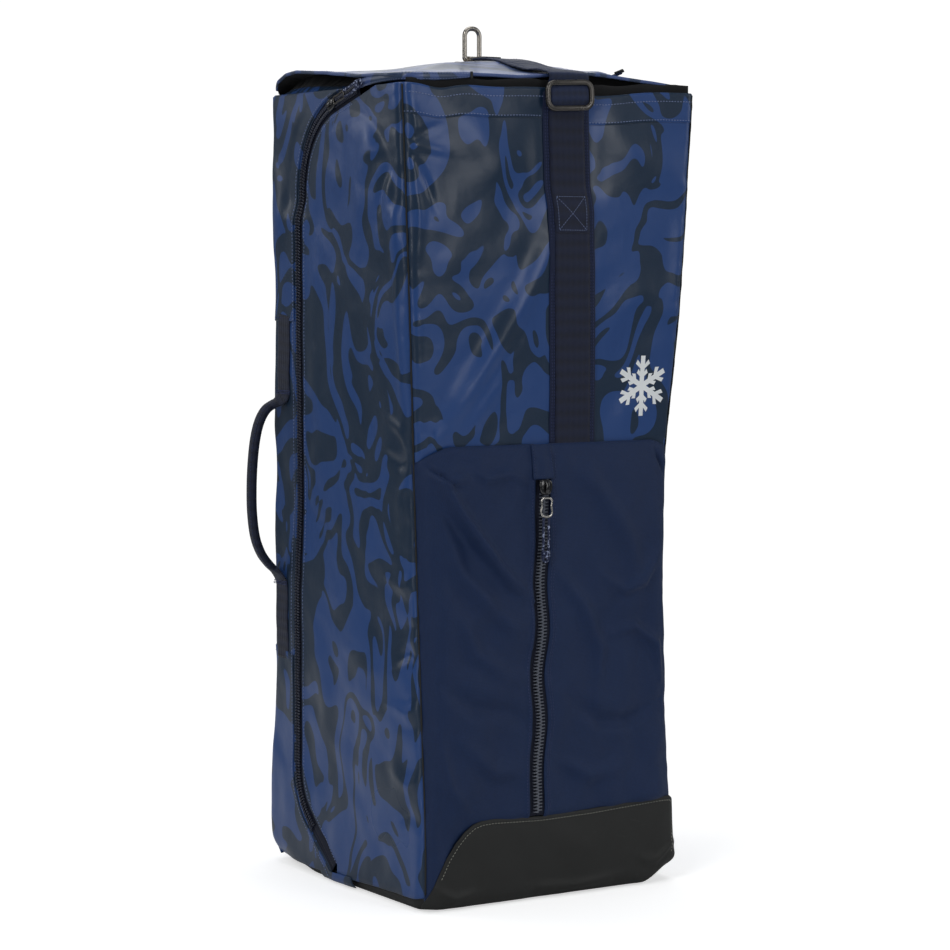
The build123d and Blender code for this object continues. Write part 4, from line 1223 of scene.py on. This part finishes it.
# ---------------------------------------------------------------- lid
LID_F, LID_B, LID_W = -142.0, 123.0, 176.5
LID_FOLDS = (
    ([(-150, 90), (-110, 60), (-80, 20)], 2.4, 14, 0.6),
    ([(-160, -60), (-120, -40), (-90, 0)], -2.0, 16, 0.5),
    ([(60, -130), (90, -90), (140, -60)], 2.0, 12, 0.6),
)


def lid_edge_z(x, y):
    """Height that the lid's edge takes near a point, from its four sides."""
    left = np.interp(y, (-142, -120, -69, -37, 20, 62, 86, 104, 116, 124),
                     (826, 825.5, 827, 830, 836, 839, 837, 831, 822, 813))
    right = np.interp(y, (-142, -100, -40, 40, 124), (820.5, 824, 830, 832, 826))
    front = np.interp(x, (-176, -154, -96, -38, 27, 60, 120, 165, 177),
                      (825, 826.5, 827.5, 827, 831.5, 832, 827, 822, 820))
    back = np.interp(x, (-176, -160, -136, 0, 176), (812, 820, 828, 832, 826))
    total, weight = 0, 0
    for value, d in ((left, x + LID_W), (right, LID_W - x), (front, y - LID_F), (back, LID_B - y)):
        w = 1 / (np.maximum(d, 0) + 5) ** 2
        total, weight = total + value * w, weight + w
    return total / weight


def lid_z(x, y):
    reach = np.maximum(np.clip((np.abs(x) - 70) / (LID_W - 70), 0, 1),
                       np.clip(np.where(y > 0, (y - 58) / (LID_B - 58), (-y - 56) / (-LID_F - 56)), 0, 1))
    t = 1 - (1 - reach) ** 1.15 * (1 - 0.25 * reach)
    crown = 843.2 + 5.1 * np.exp(-((x / 62) ** 2 + ((y + 20) / 74) ** 2) ** 1.5)
    z = crown + (lid_edge_z(x, y) - crown) * t
    waves = (ripple(x, y, 100, 150) * 1.5 + ripple(x, y, 101, 66) * 0.6) * ease(reach * 2.4) * (1 - 0.6 * t)
    folds = sum(crease(x, y, *fold) for fold in LID_FOLDS)
    return z + waves + folds * ease(reach * 2.4)


def rounded(x, y, r=24.0):
    """Rounds the lid's corners as seen from above."""
    mid, half = (LID_F + LID_B) / 2, (LID_B - LID_F) / 2
    a = np.clip((np.abs(x) - (LID_W - r)) / r, 0, 1)
    b = np.clip((np.abs(y - mid) - (half - r)) / r, 0, 1)
    return (np.where(a > 0, np.sign(x) * (LID_W - r + r * a * np.sqrt(1 - b * b / 2)), x),
            np.where(b > 0, mid + np.sign(y - mid) * (half - r + r * b * np.sqrt(1 - a * a / 2)), y))


def lidded(x, y, lift=0.0):
    rx, ry = rounded(x, y)
    return np.stack([rx, ry, lid_z(rx, ry) + lift], -1)


# the strap's upper end, over the rim and the lid
over = [(y, float(max(lid_z(x, y) for x in (-8.0, 14.0, 36.0))) + 2.6)
        for y in (-132.0, -110.0, -88.0, -66.0, -46.0)]
line = smooth([(-151.2, 797), (-151.2, 806), (-151.4, 814.5), (-152.6, 820), (-154.6, 825), (-153.6, 830),
               (-148, 832.6), *over, (-28, 852.9), (-9, 853.6)], 2.2)
a = np.linspace(-23, 23, 16)
tilt = np.linspace(0, 1, len(line))
x = 14 + a[None] + (1 - tilt[:, None]) * 0.3
y = np.repeat(line[:, :1], 16, 1)
z = np.repeat(line[:, 1:], 16, 1) + 0.9 * (1 - (a[None] / 23) ** 2) * np.sin(np.pi * np.clip(tilt * 1.1, 0, 1))[:, None]
z = z + 1.1 * ripple(x, y, 90, 46) * np.exp(-((y + 100) / 40) ** 2)
lid_strap = cloth("lid_strap_cloth", np.stack([x, y, z], -1), 1.7, WEBBING_LID, None, (0, -0.3, 1))
put_bent(lid_strap, "lid_strap")
strap_normals = grid_normals(np.stack([x, y, z], -1))
strap_normals = strap_normals * (-1 if strap_normals[:, 2, 2].mean() < 0 else 1)
above = line[:, 1] > 832
for name, j in (("left", 2), ("right", -3)):
    p = np.stack([x[above, j], y[above, j], z[above, j] + 0.1], -1)
    put(stitches(f"lid_strap_stitches_{name}", p, strap_normals[above, j], THREAD_NAVY, 3.0, 2.0, 0.28), "lid_strap")

# the lid's cloth, in the lighter lid print that paints the sheen on its top
x, y = np.meshgrid(-LID_W + 2 * LID_W * spread(112, 1.1), LID_F + (LID_B - LID_F) * spread(86, 1.1), indexing="ij")
put(cloth("lid_cloth", lidded(x, y), 3.0, PRINT_LID_PAINTED_SHEEN, LINING, (0, 0, 1)), SHELL, ["lid_panel"])
e = 4.5
for label, line in (
        ("left", [(-LID_W + e, LID_B - 20), (-LID_W + e, LID_F + 20), (-LID_W + e + 4, LID_F + e + 4),
                  (-LID_W + 20, LID_F + e), (-12, LID_F + e)]),
        ("right", [(40, LID_F + e), (LID_W - 20, LID_F + e), (LID_W - e - 4, LID_F + e + 4),
                   (LID_W - e, LID_F + 20), (LID_W - e, LID_B - 20)])):
    x, y = resample(line, 3.0).T
    put(stitches(f"lid_stitches_{label}", np.stack([x, y, lid_z(x, y) + 0.1], -1), (0, 0, 1), THREAD), SHELL)

# the lid's edge is bound with a tape in the lighter lid print, which paints its sheen
loop = resample([(-LID_W, LID_B - 6), (-LID_W, LID_F), (LID_W, LID_F), (LID_W, LID_B - 6)], 2.0)
p = lidded(loop[:, 0], loop[:, 1], -1.5)
put(sweep("lid_edge_binding", p, (0, 0, 1), 1.7, 1.75, PRINT_LID_PAINTED_SHEEN, sides=10, power=2.4), SHELL)

# pleated cloth between the side walls and the lid; its upper part is black cloth, painted shade under the lid's edge
# that also stands for the lid's black underside
for name, k in SIDES:
    y, t = np.meshgrid(np.linspace(-26, 116, 150), np.linspace(0, 1, 16), indexing="ij")
    gather = ripple(y, t * 0, 110 + k, 13) * 0.8 + ripple(y, t * 0, 112 + k, 31) * 1.0
    lift = lid_edge_z(k * LID_W, y) - 3.6
    inwards = 20 + 15 * ease((60 - y) / 80)
    x = 175.4 - corner_inset(121 - y, 22) * 0.8 - inwards * ease(t) * 0.9 + gather * np.sin(math.pi * t) ** 0.7
    z = 811 + (lift - 811) * t
    p = np.stack([k * x, y, z], -1)
    put(cloth(f"lid_skirt_{name}", p[:, :8], 1.4, PRINT_REAR, LINING, (k, 0, 0)), SHELL,
        ["lid_skirt"])
    # upper part of the skirt in black: painted shade under the lid, partly the lid's black underside
    put(cloth(f"lid_skirt_painted_shade_{name}", p[:, 7:], 1.2, LINING, None, (k, 0, 0)), SHELL)
x, t = np.meshgrid(np.linspace(-150, 150, 120), np.linspace(0, 1, 12), indexing="ij")
z = 811 + (lid_edge_z(x, LID_B + x * 0) - 3.4 - 811) * t
y = 118.6 + ripple(x, t * 0, 115, 24) * 0.9 * np.sin(math.pi * t) + 1.2 * t
put(cloth("lid_skirt_back", np.stack([x, y, z], -1), 1.4, PRINT_REAR, LINING, (0, 1, 0)), SHELL)

x, y = np.meshgrid(np.linspace(-148, 148, 90), np.linspace(-134, 106, 80), indexing="ij")
low = np.minimum(1, np.minimum(6 * (1 - np.abs(x) / 148), 9 * (1 - np.abs(y + 14) / 120)))
p = np.stack([x, y, lid_z(x, y) - 4.2 + (806 + 1.5 * ripple(x, y, 118, 70) - lid_z(x, y) + 4.2) * ease(low)], -1)
put(cloth("lid_inner_lining", p, 1.0, LINING, None, (0, 0, -1)), SHELL)

# bound strip that carries on from the left zip, round the corner and under the lid's front edge, in the lighter lid
# print as a painted sheen
line = smooth([(-176.5, -44, 814.5), (-177.2, -62, 817.5), (-177, -90, 820.6), (-175.5, -118, 821.8), (-169, -138, 822),
               (-154, -144.6, 822.2), (-130, -145.4, 823), (-108, -145.4, 824.2), (-96, -145.2, 825)], 2.4)
up = frames_along(line, (0, 0, 1))[2]
width = np.linspace(-1, 1, 7)
h = np.interp(np.linspace(0, 1, len(line)), (0, 0.12, 0.85, 1), (2.2, 4.2, 3.6, 2.0))
p = line[:, None] + up[:, None] * (width[None, :, None] * h[:, None, None])
centre = np.array((0.0, 0.0, 820.0))
away = unit((line - centre) * (1, 1, 0))
p = p + away[:, None] * (1.4 * (1 - width**2))[None, :, None]
put(cloth("zip_end_strip", p, 1.3, PRINT_LID_PAINTED_SHEEN, LINING, (-0.7, -0.7, 0)), SHELL)
for label, share in (("upper", 0.72), ("lower", -0.72)):
    row = line + up * (h * share)[:, None] + away * 0.75
    put(stitches(f"zip_end_strip_stitches_{label}", row, away, THREAD, 3.2, 2.2, 0.3), SHELL)
tack = np.stack([np.full(9, -96.0), np.full(9, -146.6), np.linspace(821.5, 828.5, 9)], -1)
put(sweep("zip_end_bartack", tack, FORWARD, 1.5, 0.9, BLACK, sides=10), SHELL)

# pull tab at the lid's right, lifted by its stiffness
line = smooth([(x, y, float(lid_z(x, y)) + above) for x, y, above in (
    (104, -8, 1.6), (114, -16, 1.6), (124, -24, 1.7), (133, -33, 2.6), (142, -42, 6.0), (150, -50, 11.5))], 2.0)
_, side, up = frames_along(line, (0, 0, 1))
a = np.linspace(-1, 1, 9)
p = line[:, None] + side[:, None] * (a * 5.2)[None, :, None] + up[:, None] * (1.1 * (1 - a * a))[None, :, None]
p[..., 2] = np.maximum(p[..., 2], lid_z(p[..., 0], p[..., 1]) + 1.9)
put(cloth("lid_tab_cloth", p, 1.5, BACKING, None, (0, 0, 1)), SHELL, ["lid_pull_tab"])
tip = np.stack([*p[-4:, 4], p[-1, 4] + (2, -2, 1.2)])
put(sweep("lid_tab_tip", tip, (0, 0, 1), 5.8, 1.7, BLACK, sides=14, power=3), SHELL)

# ---------------------------------------------------------------- side handle
# how far the handle stands off the wall, and at what height, from the top down
stations = [(0.9, 588), (0.9, 560), (0.9, 530), (0.9, 512), (1.6, 503), (5.5, 497), (13, 493.5), (22, 487),
            (29.5, 474), (34.5, 455), (37.5, 430), (38.5, 404), (37.5, 378), (33.5, 353), (26, 335), (16.5, 323),
            (7.5, 314.5), (2.2, 307),
            (0.9, 297), (0.9, 280), (0.9, 250), (0.9, 222)]
line = smooth([(o, 0, z) for o, z in stations], 2.2)
off, z = line[:, 0], line[:, 2]
y_mid = np.interp(z, (300, 318, 492, 508), (float(body(300)[2]) - 30, 145, 126, float(body(508)[2]) - 33))
y = np.where(z > 508, body(z)[2] - 33, np.where(z < 300, body(z)[2] - 30, y_mid))
loose = ease((off - 1.2) / 10)
wall = side_x(y, z, -1) * (1 - loose) + (body(z)[0] + 0.5) * loose
pts = np.stack([-(wall + off), y, z], -1)
half_w = np.interp(off, (0.9, 2.5, 8, 16, 40), (12.5, 12.0, 9.0, 7.2, 6.8))
half_t = np.interp(off, (0.9, 2.5, 8, 16, 40), (0.9, 1.6, 3.6, 4.2, 4.3))
up = unit(np.cross(np.gradient(pts, axis=0), np.tile((0.0, 1.0, 0.11), (len(z), 1))))
up = up * np.where((up[:, :1] * -1).mean() < 0, -1, 1)
first, last = np.argmax(off > 1.25), len(off) - np.argmax(off[::-1] > 1.25)
for level, part in (("upper", slice(0, first + 1)), ("lower", slice(last - 1, len(off)))):
    put(sweep(f"handle_{level}_strip", pts[part], up[part], half_w[part], half_t[part], HANDLE_WEB, sides=22, power=5),
        SHELL, [f"handle_{level}_webbing"])
part = slice(first, last)
grip = sweep("handle_grip_cloth", pts[part], up[part], half_w[part], half_t[part], HANDLE_WEB, sides=24, power=2.7)
put_bent(grip, "handle_grip")
# stitched edge of the folded grip, towards the front, and the bars of stitches at its ends
mid = off > 15
_, side, out = frames_along(pts[mid], up[mid])
row = pts[mid] + side * -np.sign(side[:, 1].mean()) * 4.4 + out * 4.1
put(stitches("handle_stitches", row, out, THREAD_NAVY, 3.4, 2.4, 0.34), "handle")
for label, level, depth in (("upper", 507.0, 16.0), ("lower", 303.0, 14.0)):
    i = np.argmin(np.abs(z - level) + (off > 3) * 100)
    bars = []
    for dz, way in ((-1.6, 1), (0.0, -1), (1.6, 1)):
        x, y, level = pts[i] + np.array((-(half_t[i] + 0.15), 0, dz))
        bars.append(np.stack([np.full(24, x), y + np.linspace(-depth, depth, 24), np.full(24, level)], -1)[::way])
    put(stitches(f"handle_bartack_{label}", np.concatenate(bars), (-1, 0, 0), THREAD_NAVY, 1.5, 1.6, 0.42), SHELL)


# ---------------------------------------------------------------- zip sliders
def slider(name, frame_, width, length, base, height, body_, cad):
    """A die-cast slider: a shield-shaped plate, its bevelled edge and the bridge that holds the pull."""
    cx, cy = superellipse(40, 0.62)
    taper = 1 - 0.16 * ease((-cy + 0.1) / 1.1) + 0.03 * ease(cy)
    rings = []
    for share, up in ((0.90, base), (1.0, base + 0.5), (1.0, base + height * 0.62), (0.93, base + height * 0.86),
                      (0.78, base + height), (0.4, base + height * 1.03)):
        rings.append([in_plane(frame_, u * width / 2 * share * narrow, v * length / 2 * share, up)
                      for u, v, narrow in zip(cx, cy, taper)])
    rings = np.array(rings)
    ids = np.arange(rings.shape[0] * rings.shape[1]).reshape(rings.shape[:2])
    faces = bands(ids) + [tuple(ids[0][::-1]), tuple(ids[-1])]
    put(raw(name + "_plate", rings.reshape(-1, 3), faces, ENAMEL), body_, [cad])
    arch = [in_plane(frame_, 0, -math.cos(v) * length * 0.36, base + height * 0.8 + 2.7 * math.sin(v) ** 0.7)
            for v in np.linspace(0, math.pi, 24)]
    put(sweep(name + "_bridge", arch, frame_[3], width * 0.14, 0.85, ENAMEL, sides=14, power=3), body_)


out = (0, -math.cos(DROP), math.sin(DROP))
start = (-11.0, -156.5 + 10 * 333 / 376, 417.0)
slider("pocket_slider", plane(start, (1, 0, -0.04), out), 15.5, 15.5, 1.9, 3.2, "pocket_slider", "pocket_slider")
for name, k in SIDES:
    y, z = on_bend(BEND_START)
    origin = np.array((k * (167 + 11 * (z - 600) / 215), y, z))
    out = unit(np.array(outwards(k)))
    ahead = unit(np.array(forwards(k)))
    slider(f"side_slider_{name}", (origin, np.cross(ahead, out), -ahead, out), 11.5, 15.0, 1.4, 3.2,
           f"side_slider_{name}", f"side_slider_{name}")

# ---------------------------------------------------------------- emblem: a plain six-armed snowflake, printed
def flake_faces():
    """A hexagon, six arms and their branches, which meet edge to edge."""
    b, tip = 2.7, 31.0
    inner = b / math.tan(math.radians(30))
    corners = [math.radians(30 + 60 * i) for i in range(6)]
    parts = [[(b * 2 * math.cos(a), b * 2 * math.sin(a)) for a in corners]]
    one = [[(inner, -b), (tip, -b), (tip, b), (inner, b)]]
    for r0, length in ((12.5, 5.5), (20.5, 8.0)):
        ca, sa = math.cos(math.radians(50)) * length, math.sin(math.radians(50)) * length
        for m in (-1, 1):
            quad = [(r0 - 2.7, m * b), (r0 + 2.0, m * b), (r0 + 1.4 + ca, m * (b + sa - 2.1)),
                    (r0 - 2.7 + ca, m * (b + sa))]
            one.append(quad[::m])
    for i in range(6):
        c, s = math.cos(math.radians(60 * i)), math.sin(math.radians(60 * i))
        parts += [[(u * c - v * s, u * s + v * c) for u, v in quad] for quad in one]
    return parts


bm = bmesh.new()
for part in flake_faces():
    bm.faces.new([bm.verts.new((u, v, 0)) for u, v in part])
for level in np.arange(-30, 31, 4):
    for axis in ((1, 0, 0), (0, 1, 0)):
        bmesh.ops.bisect_plane(bm, geom=bm.verts[:] + bm.edges[:] + bm.faces[:], plane_co=Vector(axis) * float(level),
                               plane_no=axis)
co = np.array([v.co for v in bm.verts])
at = fronted(115 + co[:, 1], 516 + co[:, 0], 0.35)
for v, p in zip(bm.verts, at):
    v.co = Vector(p * MM)
mesh = bpy.data.meshes.new("snowflake_print")
bm.normal_update()
bm.to_mesh(mesh)
bm.free()
flake_ob = link("snowflake_print", mesh, WHITE)
if sum(p.normal.y for p in mesh.polygons) > 0:
    mesh.flip_normals()
put(flake_ob, FLAP, ["front_emblem"])

# ---------------------------------------------------------------- floor and light
edge = [(1500 * math.cos(a), 1500 * math.sin(a), -0.2) for a in np.linspace(0, 2 * math.pi, 97)[:-1]]
floor = raw("floor", edge, [tuple(range(96))])
pale = Nodes("pale_floor")
speck = pale.noise(pale.coords("Object"), 3.0, 2.0).outputs["Fac"]
ray = pale.new("LightPath").outputs["Is Camera Ray"]
pale.join(pale.math("MULTIPLY", ray, 0.58), pale.p.inputs["Emission Strength"])
floor.data.materials.append(pale.done(pale.ramp(speck, (0.0, 0.80), (1.0, 0.84)), 0.9, Emission_Color=(1, 1, 1, 1),
                                      Specular_IOR_Level=0.0))

world = bpy.data.worlds.new("studio")
bpy.context.scene.world = world
world.use_nodes = True
tree = world.node_tree
back = tree.nodes["Background"]
back.inputs[0].default_value, back.inputs[1].default_value = (0.86, 0.93, 1.0, 1), 0.16
white = tree.nodes.new("ShaderNodeBackground")
white.inputs[0].default_value, white.inputs[1].default_value = (1, 1, 1, 1), 1.05
mixer, path = tree.nodes.new("ShaderNodeMixShader"), tree.nodes.new("ShaderNodeLightPath")
tree.links.new(path.outputs["Is Camera Ray"], mixer.inputs[0])
tree.links.new(back.outputs[0], mixer.inputs[1])
tree.links.new(white.outputs[0], mixer.inputs[2])
tree.links.new(mixer.outputs[0], tree.nodes["World Output"].inputs[0])


def softbox(name, place, aim, size, watts, tint=(1, 1, 1)):
    data = bpy.data.lights.new(name, "AREA")
    data.shape, data.size, data.size_y, data.energy, data.color = "RECTANGLE", size[0], size[1], watts, tint
    ob = bpy.data.objects.new(name, data)
    ob.location = place
    ob.rotation_euler = (Vector(aim) - Vector(place)).to_track_quat("-Z", "Y").to_euler()
    bpy.context.scene.collection.objects.link(ob)


softbox("front", (0.9, -2.9, 1.3), (0, 0, 0.5), (0.9, 1.7), 15)
softbox("over_left", (-2.3, -1.5, 2.7), (0, 0, 0.35), (1.0, 1.0), 21)
softbox("corner", (-2.7, -1.5, 1.15), (0, 0, 0.5), (0.45, 1.8), 11)
softbox("side", (-1.9, 2.0, 1.5), (0, 0, 0.5), (0.8, 1.4), 8)
softbox("right", (2.5, -1.2, 1.4), (0, 0, 0.45), (1.0, 1.6), 7)
softbox("top", (0.1, 0.3, 2.9), (0, 0, 0), (2.0, 2.0), 28)
softbox("behind", (1.2, 2.6, 1.7), (0, 0, 0.5), (1.6, 1.6), 9)
bpy.context.scene.view_settings.view_transform = "Standard"
